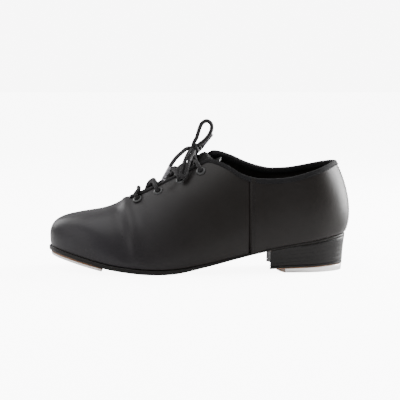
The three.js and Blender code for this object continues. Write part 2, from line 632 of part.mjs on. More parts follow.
// The heel block's front is hollow: a cylinder takes a shallow curve out of it.
const breastX = xOf(breastAt);
const hollow = 70;
const breastCutter = new THREE.CylinderGeometry(hollow, hollow, 80, 48)
  .rotateX(Math.PI / 2)
  .rotateY(0.07)
  .translate(breastX - hollow + 2.4, -3, 10);
const heelBlockFrom = sOfP(breastAt - 0.018);
const heelBottomInset = (p) => heelInset(p) + heelDraft(p);
add('heel_block', cut(slab({
  from: heelBlockFrom, to: 1 - tipS, steps: 14, edge: outlineEdge((p) => heelBottomInset(p)),
  edgeTop: outlineEdge(heelInset), bottom: (x) => liftTop(x) + gap, topOf: below(gap),
}), [breastCutter, ...heelHoles, ...nailHoles]), blackEdge);
add('heel_top_lift', cut(slab({
  from: heelBlockFrom, to: 1 - tipS, steps: 14, edge: outlineEdge((p) => heelBottomInset(p) + 0.2),
  edgeTop: outlineEdge((p) => heelBottomInset(p) + 0.1), bottom: liftBottom, topOf: liftTop,
}), [breastCutter, ...heelHoles]), tanLeather);
const heelTapNose = new THREE.CylinderGeometry(58, 58, 30, 48).rotateX(Math.PI / 2)
  .translate(breastX + 4 + 58, 0, 0);
const heelTapPlate = slab({
  from: sOfP(breastAt), to: 1 - tipS, steps: 12, edge: outlineEdge((p) => heelBottomInset(p) + 1.2),
  edgeTop: outlineEdge((p) => heelBottomInset(p) + 0.5), bottom: () => 0, topOf: heelTapTop,
});
add('heel_tap', toGeometry(
  heelHoles.reduce((solid, hole) => solid.subtract(toSolid(hole)),
    toSolid(heelTapPlate).intersect(toSolid(heelTapNose))),
), castAluminium);
toeScrews.forEach((place, i) => add(`toe_tap_screw_${i + 1}`, screwAt(place, 0, true), steel));
heelTapPlaces.forEach((place, i) => add(`heel_tap_screw_${i + 1}`, screwAt(place, 0, false), steel));
nailPlaces.forEach((place, i) => add(`heel_nail_${i + 1}`, nailAt(place, 0), steel));

// ---------------------------------------------------------------- eyelets and laces
for (const { side, number, point, normal } of eyeletPlaces) {
  const turn = new THREE.Quaternion().setFromUnitVectors(new THREE.Vector3(0, 1, 0), normal);
  const name = `eyelet_${side === LATERAL ? 'lateral' : 'medial'}_${number}`;
  add(name, tidy(eyeletGeometry()).applyQuaternion(turn).translate(point.x, point.y, point.z), blackEnamel);
}
// A round tube through points, with rings that do not twist.
function tube(points, radius, sides = 8) {
  const tangents = points.map((v, i) => points[Math.min(i + 1, points.length - 1)].clone()
    .sub(points[Math.max(i - 1, 0)]).normalize());
  let side = new THREE.Vector3(0.3, 1, 0.2).cross(tangents[0]).normalize();
  const rings = points.map((v, i) => {
    side = side.clone().addScaledVector(tangents[i], -side.dot(tangents[i])).normalize();
    const other = tangents[i].clone().cross(side);
    return evenly(sides).slice(0, sides).map((u) => v.clone()
      .addScaledVector(side, radius * Math.cos(2 * Math.PI * u))
      .addScaledVector(other, radius * Math.sin(2 * Math.PI * u)));
  });
  const swept = sweepSections(rings);
  for (const [ring, flip] of [[swept.rings[0], true], [swept.rings[points.length - 1], false]]) {
    for (let i = 1; i + 1 < sides; i += 1) {
      const corners = flip ? [ring[0], ring[i], ring[i + 1]] : [ring[0], ring[i + 1], ring[i]];
      swept.faces.push(...corners);
    }
  }
  return closedMesh(swept.vertices, swept.faces);
}
const smooth = (points, count) => new THREE.CatmullRomCurve3(points, false,
  'centripetal').getSpacedPoints(count);
const eyelet = (side, number) => eyeletPlaces.find((e) => e.side === side && e.number === number);
// The lace goes over the rim, down the bore and out underneath, bending towards the throat.
const overRim = 1.15 + laceDiameter / 2 + 0.5;
function threadDown(e, comingFrom, goingTo) {
  const level = (v) => v.clone().sub(e.point).addScaledVector(e.normal,
    -v.clone().sub(e.point).dot(e.normal)).normalize();
  const place = (way, out, height) => e.point.clone().addScaledVector(way, out).addScaledVector(e.normal,
    height);
  const inWay = level(comingFrom);
  const outWay = level(goingTo);
  return [place(inWay, 4.4, overRim + 0.1), place(inWay, 2.3, overRim - 0.15), place(inWay, 0.9,
    overRim - 0.95),
    place(inWay, 0.25, 0.9), place(outWay, 0.1, -1.6), place(outWay, 0.25, -wall - 0.9),
    place(outWay, 1.1, -laceDepth + 0.75), place(outWay, 2.6, -laceDepth), place(outWay, 5.2, -laceDepth)];
}
// Where a strand passes the middle of the throat, and where it climbs over the far facing's edge.
const ridgeAt = (x, depth) => skinPoint(pOf(x), throatY(pOf(x)), depth);
const overEdge = (side, x, out) => {
  const p = pOf(x);
  return skinPoint(p, throatY(p) + side * (throatHalf(p) + out),
    -gap - bindingTape - laceDiameter / 2 - 1.3);
};
// Where it passes inside the near facing's edge, about a quarter of the way across.
function underEdge(from, to) {
  const p = pOf(from.point.x + (to.point.x - from.point.x) * 0.27);
  return skinPoint(p, throatY(p) + from.side * (throatHalf(p) - 0.6), laceDepth / 0.9);
}
function crossing(from, to, depthAtRidge) {
  const x = from.point.x + (to.point.x - from.point.x) * 0.5;
  const xEdge = from.point.x + (to.point.x - from.point.x) * 0.72;
  return [underEdge(from, to), ridgeAt(x, depthAtRidge), overEdge(to.side, xEdge, -2.3), overEdge(to.side,
    xEdge + 1.2, 1.2)];
}
const knot = at(-4, 3, 116);
const middleOf = (k) => ridgeAt((eyelet(LATERAL, k).point.x + eyelet(LATERAL, k + 1).point.x) / 2, 0);
const highCross = -1.3;
const lowCross = 2.9;
function halfLacing(side) {
  const other = -side;
  const one = eyelet(side, 1);
  const two = eyelet(other, 2);
  const three = eyelet(side, 3);
  const four = eyelet(other, 4);
  const odd = side === LATERAL ? highCross : lowCross;
  const even = side === LATERAL ? lowCross : highCross;
  const inside34 = ridgeAt((three.point.x + four.point.x) / 2, side === LATERAL ? 3.0 : 7.1);
  const rise = [overEdge(other, four.point.x - 4, 2.4), overEdge(other, four.point.x - 5.5, -1.6)];
  const upFour = threadDown(four, rise[0], inside34).reverse();
  const toKnot = [...rise, at(knot.x + other, knot.y + other * 3.9, knot.z - 4.4)];
  return [
    ...threadDown(one, eyelet(other, 1).point, middleOf(1)), ...crossing(one, two, odd),
    ...threadDown(two, crossing(one, two, odd)[3], middleOf(2)), ...crossing(two, three, even),
    ...threadDown(three, crossing(two, three, even)[3], inside34), underEdge(three, four), inside34,
    underEdge(four, three), ...upFour, ...toKnot,
  ];
}
const bar = [0.25, 0.5, 0.75].map((u) => {
  const [a, b] = [eyelet(LATERAL, 1).point, eyelet(MEDIAL, 1).point];
  const y = a.y + (b.y - a.y) * u;
  return skinPoint(pOf(a.x), y, -gap - bindingTape - laceDiameter / 2 - 0.6);
});
const lacePath = [...halfLacing(LATERAL).reverse(), ...bar, ...halfLacing(MEDIAL)];
add('lace_laced', tube(smooth(lacePath, 160), laceDiameter / 2, 7), laceMaterial);

// The bow: the knot, two loops and two ends, each with its aglet.
const knotTurns = 2;
const knotReach = 3.9;
const knotRadius = 1.95;
const knotPath = evenly(20).map((u) => at(
  knot.x - knotReach + 2 * knotReach * u,
  knot.y + knotRadius * Math.cos(2 * Math.PI * knotTurns * u),
  knot.z + knotRadius * Math.sin(2 * Math.PI * knotTurns * u) + (u - 0.5),
));
const pathOf = (list) => list.map(([x, y, z]) => at(x, y, z));
const bow = {
  lace_loop_upright: [pathOf([[-5.4, 3, 121.9], [-2.2, 2.6, 127.6], [0.4, 2.2, 136], [3.2, 2.2, 141.6],
    [7.6, 2.6, 143.6],
    [11.6, 3.2, 141], [12.2, 3.6, 135.6], [9.4, 3.9, 129.4], [4.6, 3.9, 124], [0.6, 3.6, 121.4]]), 26],
  lace_loop_drooping: [pathOf([[-9.2, -3.4, 114.6], [-12.6, -9, 108], [-15.8, -15.4, 99], [-17.4, -19.6,
    93.4],
    [-15.2, -21.6, 91], [-12.6, -19.8, 93.6], [-10.8, -15.2, 100.4], [-8.4, -8.8, 108], [-5.6, -4.6,
      112.4]]), 24],
  lace_end_front: [pathOf([[-11.4, 0.6, 117], [-16.6, -4.4, 113.4], [-23, -9.2, 107.4], [-27.6, -13,
    100.6]]), 10],
  lace_end_back: [pathOf([[0.9, 7.4, 117.4], [-1.8, 12.6, 119.4], [-4.4, 17.6, 118], [-3.4, 20.4, 114.8],
    [-0.6, 19.2, 114.4],
    [1.6, 17.2, 116.4], [3.6, 15.4, 118.9]]), 16],
};
add('lace_knot', tube(knotPath, laceDiameter / 2), laceMaterial);
for (const [name, [points, count]] of Object.entries(bow)) {
  add(name, tube(smooth(points, count), laceDiameter / 2), laceMaterial);
}
const agletLength = 16;
for (const [name, tip, end] of [['aglet_front', at(-35.4, -19.6, 86.6), 'lace_end_front'],
  ['aglet_back', at(12.4, 10.8, 130), 'lace_end_back']]) {
  const [points] = bow[end];
  const root = points[points.length - 1];
  const way = tip.clone().sub(root).normalize();
  add(name, tidy(rod(root.clone().addScaledVector(way, gap), root.clone().addScaledVector(way,
    agletLength), 1.6, 8)),
    clearPlastic);
}

export default shoe;
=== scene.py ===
# %% [markdown]
# # A tap shoe, built from the last outwards
# A shoe is made round a last, a solid foot shape. The leather is pulled over it, so one smooth
# surface rules every piece of the upper. This script describes that surface once, then cuts the
# leather, lining, tape and stitches from it, and adds the sole, the metal taps and the lace.
# The CAD model is the frame: it is loaded first, and every finer piece stands where its solid is.

# %% Load the frame
import math
import bmesh
import bpy
from mathutils import Matrix, Quaternion, Vector


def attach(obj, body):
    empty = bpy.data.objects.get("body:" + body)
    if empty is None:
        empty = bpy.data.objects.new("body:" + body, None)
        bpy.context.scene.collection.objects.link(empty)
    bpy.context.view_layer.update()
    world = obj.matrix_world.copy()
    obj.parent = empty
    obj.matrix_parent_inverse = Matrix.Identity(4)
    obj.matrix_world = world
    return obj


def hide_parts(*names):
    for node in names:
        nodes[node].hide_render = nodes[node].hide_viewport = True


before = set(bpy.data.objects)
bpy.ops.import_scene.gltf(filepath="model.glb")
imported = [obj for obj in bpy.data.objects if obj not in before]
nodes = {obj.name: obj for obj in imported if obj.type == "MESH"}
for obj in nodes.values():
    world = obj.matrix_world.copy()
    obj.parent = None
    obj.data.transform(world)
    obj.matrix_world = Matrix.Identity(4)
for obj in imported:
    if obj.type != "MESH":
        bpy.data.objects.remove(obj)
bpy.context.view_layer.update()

# %% [markdown]
# ## The camera
# The shoe is seen from its outer side, a little above the floor and from far away, as a shop
# would show it. A long lens keeps the toe and the heel at nearly the same scale.

# %% Camera
CAMERA_TARGET = Vector((0.001, 0.0, 0.067))
CAMERA_DISTANCE = 1.4
CAMERA_RISE = math.radians(5.5)
CAMERA_LENS, SENSOR = 129.9, 36

camera_data = bpy.data.cameras.new("Camera")
camera_data.lens = CAMERA_LENS
camera_data.sensor_width = SENSOR
camera = bpy.data.objects.new("Camera", camera_data)
away = Vector((0, -math.cos(CAMERA_RISE), math.sin(CAMERA_RISE)))
camera.location = CAMERA_TARGET + CAMERA_DISTANCE * away
camera.rotation_euler = (-away).to_track_quat("-Z", "Y").to_euler()
bpy.context.collection.objects.link(camera)
bpy.context.scene.camera = camera
print("camera at", [round(v, 3) for v in camera.location])

# %% [markdown]
# ## Meshes from lists
# Every piece below is a list of points, made in millimetres because a shoemaker's sizes are,
# and turned into metres here. Smooth shading is kept off edges that are sharp in the real piece.

# %% Mesh helpers
MM = 0.001
SHARP = math.radians(38)


def new_mesh(name, points, faces):
    mesh = bpy.data.meshes.new(name)
    mesh.from_pydata([Vector(p) * MM for p in points], [], faces)
    return mesh


def linked(name, mesh):
    piece = bpy.data.objects.new(name, mesh)
    bpy.context.collection.objects.link(piece)
    return piece


def shade(work):
    """Smooth faces, but not across an edge that is sharp in the real piece."""
    for face in work.faces:
        face.smooth = True
    for edge in work.edges:
        edge.smooth = not (len(edge.link_faces) == 2 and edge.calc_face_angle(0) > SHARP)


def put(name, points, faces, body="shoe"):
    """A new piece from points in millimetres, merged where points meet, riding on a body."""
    return finish_mesh(name, new_mesh(name, points, faces), body)


def finish_mesh(name, mesh, body="shoe", merge=True):
    """Merges doubles, turns the faces outwards, shades the mesh and links its object."""
    work = bmesh.new()
    work.from_mesh(mesh)
    if merge:
        bmesh.ops.remove_doubles(work, verts=work.verts, dist=2e-6)
        bmesh.ops.dissolve_degenerate(work, edges=work.edges, dist=1e-7)
        bmesh.ops.recalc_face_normals(work, faces=work.faces)
    shade(work)
    work.to_mesh(mesh)
    work.free()
    piece = linked(name, mesh)
    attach(piece, body)
    return piece


def baked(piece):
    """The piece with its modifiers made real."""
    evaluated = piece.evaluated_get(bpy.context.evaluated_depsgraph_get())
    mesh = bpy.data.meshes.new_from_object(evaluated)
    piece.modifiers.clear()
    piece.data = mesh
    return piece


def bevelled(piece, width, segments=2, angle=40):
    """Rounds the piece's sharp edges by a width in millimetres."""
    bevel = piece.modifiers.new("Rounded edges", "BEVEL")
    bevel.width = width * MM
    bevel.segments = segments
    bevel.limit_method = "ANGLE"
    bevel.angle_limit = math.radians(angle)
    return baked(piece)


def rings_to_mesh(rings, closed_ring=True, caps=True):
    """Joins rings of points into a skin. Returns the points and the faces."""
    count = len(rings[0])
    points = [p for ring in rings for p in ring]
    faces = []
    for j in range(len(rings) - 1):
        for i in range(count if closed_ring else count - 1):
            k = (i + 1) % count
            faces.append((j * count + i, (j + 1) * count + i, (j + 1) * count + k, j * count + k))
    if caps:
        faces.append(tuple(range(count)))
        faces.append(tuple((len(rings) - 1) * count + i for i in reversed(range(count))))
    return points, faces


print("mesh helpers ready")

# %% [markdown]
# ## The lace's free parts come first
# A lace is one cord, but only its loops and ends hang free, and they are made first.
# Each is a tube with its own UV map: u runs round the cord and v along it, in millimetres, so
# that the braid drawn later follows every bend.

# %% Cord helpers
LACE_DIAMETER = 3.5
CORD_RADIUS = 1.95      # the braid stands a little proud of the cord's nominal size


def clamp(x):
    return min(max(x, 0.0), 1.0)


def ease(u):
    c = clamp(u)
    return c * c * (3 - 2 * c)


def smooth_path(points, steps):
    """A Catmull-Rom curve through points, at even steps along its length."""
    knots = [Vector(p) for p in points]
    knots = [knots[0] * 2 - knots[1]] + knots + [knots[-1] * 2 - knots[-2]]
    fine = []
    for i in range(1, len(knots) - 2):
        a, b, c, d = knots[i - 1:i + 3]
        ta = 0.0
        tb = ta + math.sqrt((b - a).length)
        tc = tb + math.sqrt((c - b).length)
        td = tc + math.sqrt((d - c).length)
        for k in range(24):
            t = tb + (tc - tb) * k / 24
            p1 = a * ((tb - t) / (tb - ta)) + b * ((t - ta) / (tb - ta))
            p2 = b * ((tc - t) / (tc - tb)) + c * ((t - tb) / (tc - tb))
            p3 = c * ((td - t) / (td - tc)) + d * ((t - tc) / (td - tc))
            q1 = p1 * ((tc - t) / (tc - ta)) + p2 * ((t - ta) / (tc - ta))
            q2 = p2 * ((td - t) / (td - tb)) + p3 * ((t - tb) / (td - tb))
            fine.append(q1 * ((tc - t) / (tc - tb)) + q2 * ((t - tb) / (tc - tb)))
    fine.append(knots[-2])
    lengths = [0.0]
    for a, b in zip(fine, fine[1:]):
        lengths.append(lengths[-1] + (b - a).length)
    even, i = [], 0
    for k in range(steps + 1):
        goal = lengths[-1] * k / steps
        while i < len(fine) - 2 and lengths[i + 1] < goal:
            i += 1
        share = (goal - lengths[i]) / max(lengths[i + 1] - lengths[i], 1e-9)
        even.append(fine[i].lerp(fine[i + 1], clamp(share)))
    return even


def path_length(path):
    return sum((b - a).length for a, b in zip(path, path[1:]))


def tube(name, path, radius, sides=16, taper=None):
    """A cord along a path, in millimetres, with rounded ends and a UV map along it."""
    count = len(path)
    tangents = [(path[min(i + 1, count - 1)] - path[max(i - 1, 0)]).normalized() for i in range(count)]
    side = Vector((0.3, 1, 0.2)).cross(tangents[0]).normalized()
    stations = [(path[i], tangents[i], (taper(i / (count - 1)) if taper else 1.0)) for i in range(count)]
    ends = [(0.97, 0.26), (0.84, 0.55), (0.6, 0.8), (0.3, 0.95)]
    setback = radius * 0.5
    head = [(path[0] + tangents[0] * setback * (1 - out), tangents[0], width) for width, out in ends[::-1]]
    tail = [(path[-1] - tangents[-1] * setback * (1 - out), tangents[-1], width) for width, out in ends]
    stations = head + stations[1:-1] + tail
    rings, uvs, along, last = [], [], 0.0, stations[0][0]
    for place, tangent, width in stations:
        side = (side - tangent * side.dot(tangent)).normalized()
        other = tangent.cross(side)
        along += (place - last).length
        last = place
        turn = [2 * math.pi * i / sides for i in range(sides)]
        rings.append([place + (side * math.cos(a) + other * math.sin(a)) * radius * width for a in turn])
        uvs.append(along)
    points, faces = rings_to_mesh(rings)
    mesh = new_mesh(name, points, faces)
    layer = mesh.uv_layers.new(name="UVMap")
    for face in mesh.polygons:
        spokes = [mesh.loops[i].vertex_index % sides for i in face.loop_indices]
        wraps = max(spokes) == sides - 1 and 0 in spokes and len(spokes) == 4
        for i in face.loop_indices:
            vertex = mesh.loops[i].vertex_index
            u = vertex % sides
            layer.data[i].uv = ((sides if wraps and u == 0 else u) / sides, uvs[vertex // sides])
    piece = finish_mesh(name, mesh, merge=False)
    work = bmesh.new()
    work.from_mesh(piece.data)
    bmesh.ops.recalc_face_normals(work, faces=work.faces)
    work.to_mesh(piece.data)
    work.free()
    return piece


# %% The bow
KNOT = Vector((-4, 3, 116))
BOW = {
    "lace_loop_upright": ([(-5.8, 3, 118.2), (-5.2, 3, 121.9), (-2.2, 2.6, 127.6), (0.4, 2.2, 136),
                           (3.2, 2.2, 141.6), (7.6, 2.6, 143.6),
                           (11.6, 3.2, 141), (12.2, 3.6, 135.6), (9.4, 3.9, 129.4), (4.6, 3.9, 124),
                           (0.6, 3.6, 121.2), (-1.0, 3.4, 118.4)],
                          "object"),
    "lace_loop_drooping": ([(-6.6, 0.6, 116.4), (-9.2, -3.4, 114), (-12.6, -9, 108), (-15.8, -15.4, 99),
                            (-17.4, -19.6, 93.4),
                            (-15.2, -21.6, 91), (-12.6, -19.8, 93.6), (-10.8, -15.2, 100.4),
                            (-8.4, -8.8, 108),
                            (-5.6, -4.2, 112.6), (-4.4, 0.4, 115.2)], "object"),
    "lace_end_front": ([(-7.4, 2.6, 117.4), (-11.4, 0.6, 117), (-16.6, -4.4, 113.4), (-23, -9.2, 107.4),
                        (-27.6, -13, 100.6)], "fitting"),
    "lace_end_back": ([(0.4, 4.2, 116.6), (0.9, 7.4, 117.4), (-1.8, 12.6, 119.4), (-4.4, 17.6, 118),
                       (-3.4, 20.4, 114.8),
                       (-0.6, 19.2, 114.4), (1.6, 17.2, 116.4), (3.6, 15.4, 118.9)], "fitting"),
}
AGLETS = {"lace_end_front": ("aglet_front", (-35.4, -19.6, 86.6)),
          "lace_end_back": ("aglet_back", (12.4, 10.8, 130))}
AGLET_LENGTH, AGLET_RADIUS, AGLET_LAP = 16, 1.78, 0.5
INSIDE_AGLET = (5, 10, 14.6)
laces = []
aglets = []
for name, (points, far_end) in BOW.items():
    # a lace end runs on inside its aglet, squeezed a little thinner there
    root = Vector(points[-1])
    way = (Vector(AGLETS[name][1]) - root).normalized() if name in AGLETS else None
    inside = [root + way * reach for reach in INSIDE_AGLET] if way else []
    path = smooth_path(list(points) + inside, max(24, int(path_length([Vector(p) for p in points]) / 0.9)))
    free_share = 1 - 15 / path_length(path)
    cord = tube("braided_" + name, path, CORD_RADIUS,
                taper=(lambda u, end=free_share: 1 - 0.24 * ease((u - end) / 0.06)) if way else None)
    laces.append(cord)
    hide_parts(name)
    if way:
        node = AGLETS[name][0]
        shaft = [root + way * ((AGLET_LENGTH + AGLET_LAP) * u / 12 - AGLET_LAP) for u in range(13)]
        cap = tube("clear_" + node, shaft, AGLET_RADIUS, taper=lambda u: 1.0 - 0.12 * max(0, u - 0.85) / 0.15)
        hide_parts(node)
        aglets.append(cap)
    length = path_length(path) * MM
    tuple(path[0] * MM)
    [tuple(p * MM) for p in path]
    print(name, "is", round(length * 1000, 1), "mm long")

# %% [markdown]
# ## The last
# The last is described by a few curves along the sole: its plan on both sides, the height of the
# sole, the roof line and how full its sides are. A curve here is a smooth function through points.
# `last_point` gives a point of the upper from a side, a station `s` from toe to heel, a height `t`
# from the sole (0) to the ridge (1), and a depth under the leather's face.

# %% Curves
SOLE_LENGTH, BALL_WIDTH, HEEL_WIDTH, UPPER_HEIGHT = 284.5, 92.0, 61.5, 117.0
TOE_SPRING, BREAST_HEIGHT, SEAT_BACK_HEIGHT, HEEL_LENGTH = 18.5, 21.8, 33.0, 69.0
SOLE_FOREPART, SOLE_WAIST, SOLE_SEAT = 4.6, 3.0, 2.4
LEATHER, STIFFENER, LINING, GLUE = 1.3, 1.0, 0.8, 0.3
HEEL_BULGE, TOE_BULGE = 5.6, 0.9
LATERAL, MEDIAL = -1, 1


def through(points):
    """A smooth function through (x, y) points. A third number fixes the slope there."""
    last = len(points) - 1

    def chord(i):
        return (points[i + 1][1] - points[i][1]) / (points[i + 1][0] - points[i][0])

    slopes = []
    for i, p in enumerate(points):
        if len(p) > 2:
            slopes.append(p[2])
        elif i == 0:
            slopes.append(chord(0))
        elif i == last:
            slopes.append(chord(last - 1))
        else:
            before, after = p[0] - points[i - 1][0], points[i + 1][0] - p[0]
            slopes.append((chord(i - 1) * after + chord(i) * before) / (before + after))

    def curve(x):
        i = 0
        while i < last - 1 and x > points[i + 1][0]:
            i += 1
        (x0, y0), (x1, y1) = points[i][:2], points[i + 1][:2]
        w = x1 - x0
        u = (x - x0) / w
        if u <= 0:
            return y0 + slopes[i] * (x - x0)
        if u >= 1:
            return y1 + slopes[i + 1] * (x - x1)
        v = 1 - u
        return (y0 * v * v * (1 + 2 * u) + y1 * u * u * (3 - 2 * u)
                + w * u * v * (slopes[i] * v - slopes[i + 1] * u))
    return curve


def bump(x, centre, width):
    """1 at a centre, falling smoothly to nothing about two widths away."""
    return math.exp(-((x - centre) / width) ** 2)


TOE_X = -(SOLE_LENGTH + HEEL_BULGE - TOE_BULGE) / 2
TIP_Y = 7


def x_of(p):
    return TOE_X + SOLE_LENGTH * p


def p_of(x):
    return (x - TOE_X) / SOLE_LENGTH


def p_of_s(s):
    return (1 - math.cos(math.pi * s)) / 2


def s_of_p(p):
    return math.acos(1 - 2 * clamp(p)) / math.pi


PLAN = {
    LATERAL: [(0.06, 0.218, 0), (0.15, 0.398, 0), (0.27, 0.493, 0), (0.38, 0.505, 0), (0.52, 0.445, 0),
              (0.64, 0.569, 1), (0.78, 0.52, 1), (0.9, 0.463, 1), (0.965, 0.293, 1)],
    MEDIAL: [(0.06, 0.337, 0), (0.15, 0.446, 0), (0.27, 0.489, 0), (0.38, 0.462, 0), (0.52, 0.348, 0),
             (0.64, 0.439, 1), (0.78, 0.48, 1), (0.9, 0.463, 1), (0.965, 0.293, 1)],
}
plan = {side: through([(0, TIP_Y)] + [(s_of_p(p), side * k * (HEEL_WIDTH if heel else BALL_WIDTH))
                                      for p, k, heel in PLAN[side]] + [(1, 0)]) for side in PLAN}
TAP_END = 0.18
BREAST_AT = 1 - HEEL_LENGTH / SOLE_LENGTH
TOE_SLOPE = -0.665 * TOE_SPRING / TAP_END
sole_bottom_at = through([(0, TOE_SPRING, TOE_SLOPE), (TAP_END, TOE_SPRING + TOE_SLOPE * TAP_END, TOE_SLOPE),
                          (0.27, 0.108 * TOE_SPRING), (0.37, 0, 0), (0.44, 0.05 * BREAST_HEIGHT),
                          (0.52, 0.27 * BREAST_HEIGHT), (BREAST_AT, BREAST_HEIGHT), (1, SEAT_BACK_HEIGHT)])
sole_thickness_at = through([(0, SOLE_FOREPART, 0), (0.42, SOLE_FOREPART, 0), (0.56, SOLE_WAIST, 0),
                             (BREAST_AT, SOLE_SEAT, 0), (1, SOLE_SEAT, 0)])
roof_at = through([(0, 0.455), (0.11, 0.478), (0.19, 0.513), (0.25, 0.578), (0.37, 0.742), (0.46, 0.85),
                   (0.56, 0.993), (0.64, 1.07), (0.75, 1.14), (0.87, 1.17), (1, 1.16)])
ridge_y_at = through([(0, TIP_Y), (0.2, 5.5), (0.3, 6), (0.45, 9), (0.55, 11), (0.7, 6), (0.85, 1), (1, 0)])
fullness_at = through([(0, 3.5), (0.06, 3.1), (0.15, 2.5), (0.25, 1.8), (0.33, 1.62, 0), (0.38, 1.66),
                       (0.46, 1.88), (0.54, 1.9), (0.66, 2.0), (0.8, 2.1), (1, 2.1)])
bulge_at = through([(0, TOE_BULGE + 0.6, 0), (0.3, 2.2), (0.55, 3.0), (0.8, 3.2), (1, HEEL_BULGE + 0.8, 0)])
RIDGE_ENDS = (TOE_X + 45, TOE_X + SOLE_LENGTH - 31.5)
RIDGE_BLEND = 11


def sole_bottom(x):
    return sole_bottom_at(p_of(x))


def sole_top(x):
    return sole_bottom(x) + sole_thickness_at(p_of(x))


def ridge_x(x):
    low = RIDGE_ENDS[0] + RIDGE_BLEND * math.log1p(math.exp((x - RIDGE_ENDS[0]) / RIDGE_BLEND))
    return RIDGE_ENDS[1] - RIDGE_BLEND * math.log1p(math.exp((RIDGE_ENDS[1] - low) / RIDGE_BLEND))


def last_point(side, s, t, depth=0.0):
    p = p_of_s(s)
    x0 = x_of(p)
    foot = Vector((x0, plan[side](s)))
    ridge = Vector((ridge_x(x0), ridge_y_at(p)))
    inward = (ridge - foot).normalized()
    foot += inward * depth
    power = 2 / fullness_at(p)
    angle = clamp(t) * math.pi / 2
    across = 1.0 if t >= 1 else 1 - math.cos(angle) ** power
    up = math.sin(angle) ** power
    swell_top = 1 - 0.5 * ease((p - 0.84) / 0.16)
    swell = bulge_at(p) * math.sin(math.pi * clamp(t / swell_top) ** 0.6)
    x = foot.x + (ridge.x - foot.x) * across - inward.x * swell
    y = foot.y + (ridge.y - foot.y) * across - inward.y * swell
    z_foot = sole_top(x0) + GLUE + depth
    return Vector((x, y, z_foot + (UPPER_HEIGHT * roof_at(p_of(x)) - depth - z_foot) * up))


def find_t(measure, value):
    low, high = 0.0, 1.0
    for _ in range(30):
        mid = (low + high) / 2
        if measure(mid) < value:
            low = mid
        else:
            high = mid
    return (low + high) / 2


print("toe at", [round(v, 1) for v in last_point(LATERAL, 0, 0.3)], "heel at",
      [round(v, 1) for v in last_point(LATERAL, 1, 0.2)])

# %% [markdown]
# ## Throat and collar
# The facings part behind the vamp and stay a finger apart; the collar then dips under the ankle
# bone and rises at the heel. Each edge is stored once per station, because every layer is cut
# along it.

# %% Top edge
THROAT_AT = 0.252
FACING_TOP = {LATERAL: 0.526, MEDIAL: 0.552}
throat_y = through([(0.2, 5.5), (0.3, 5.5), (0.4, 5), (0.6, 4)])
throat_half = through([(THROAT_AT, 0), (0.275, 5.2), (0.31, 8.6), (0.4, 10, 0), (0.6, 10.6)])
collar_at = {
    LATERAL: through([(0.5, 0.918), (0.57, 0.9), (0.603, 0.868), (0.643, 0.81), (0.69, 0.77),
                      (0.74, 0.761, 0),
                      (0.81, 0.772), (0.885, 0.82), (0.945, 0.868), (1, 0.898, 0)]),
    MEDIAL: through([(0.52, 0.975), (0.575, 0.965), (0.624, 0.925), (0.666, 0.878), (0.71, 0.842),
                     (0.76, 0.82, 0),
                     (0.82, 0.826), (0.885, 0.853), (0.945, 0.882), (1, 0.898, 0)]),
}
edge_memory = {}


def top_edge(side, s):
    key = (side, round(s, 7))
    if key in edge_memory:
        return edge_memory[key]
    p = p_of_s(s)
    if p <= THROAT_AT:
        t = 1.0
    else:
        ridge = ridge_y_at(p)
        spread = abs(throat_y(p) + side * throat_half(p) - ridge)
        facing = collar = 1.0
        if p <= 0.62:
            facing = find_t(lambda u: -abs(last_point(side, s, u).y - ridge), -spread)
        if p >= 0.48:
            collar = find_t(lambda u: last_point(side, s, u).z, UPPER_HEIGHT * collar_at[side](p))
        t = min(facing, collar)
    edge_memory[key] = t
    return t


PUFF_END, COUNTER_START = 0.16, 0.8
UNDER_LEATHER = LEATHER + GLUE
UNDER_STIFFENER = UNDER_LEATHER + STIFFENER + GLUE
WALL = UNDER_LEATHER + LINING


def lining_face(p, r):
    at_toe = 1 - ease((p - PUFF_END - 0.01) / 0.06)
    at_heel = ease((p - COUNTER_START + 0.08) / 0.06) * (1 - ease((r - 0.76) / 0.14))
    return UNDER_LEATHER + (UNDER_STIFFENER - UNDER_LEATHER) * max(at_toe, at_heel)


def skin_point(p, y, depth):
    """The layer's point at a station and a distance across the shoe."""
    s, ridge = s_of_p(p), ridge_y_at(p)
    side = LATERAL if y < ridge else MEDIAL
    t = find_t(lambda u: -abs(last_point(side, s, u, depth).y - ridge), -abs(y - ridge))
    return last_point(side, s, t, depth)


def wall_frame(side, s, t, depth=0.0):
    """A point of the wall, its outward normal, and the ways up the wall and along the shoe."""
    point = last_point(side, s, t, depth)
    s0, s1 = clamp(s - 1e-3), clamp(s + 1e-3)
    along = last_point(side, s1, t, depth) - last_point(side, s0, t, depth)
    up = (last_point(side, s, min(t + 1e-3, 1), depth) - last_point(side, s, t - 1e-3, depth)).normalized()
    if s >= 0.9995:
        along = Vector((0, -side, 0))
    normal = (along.cross(up) * -side).normalized()
    return point, normal, up, along.normalized()


print("collar at the heel:", round(last_point(LATERAL, 1, top_edge(LATERAL, 1)).z, 1), "mm")

# %% [markdown]
# ## Where leather shows its life
# New leather over a last is not a perfect surface. It creases where the foot bends, it dips where
# the throat begins, it gathers a little behind a seam, and the lasted edge leaves small folds
# above the sole. `relief` returns how far the face stands out from the last at a place, in
# millimetres, so that these shapes are geometry and catch the light as real folds do.

# %% Relief of the leather
SEAM_AT = 0.682


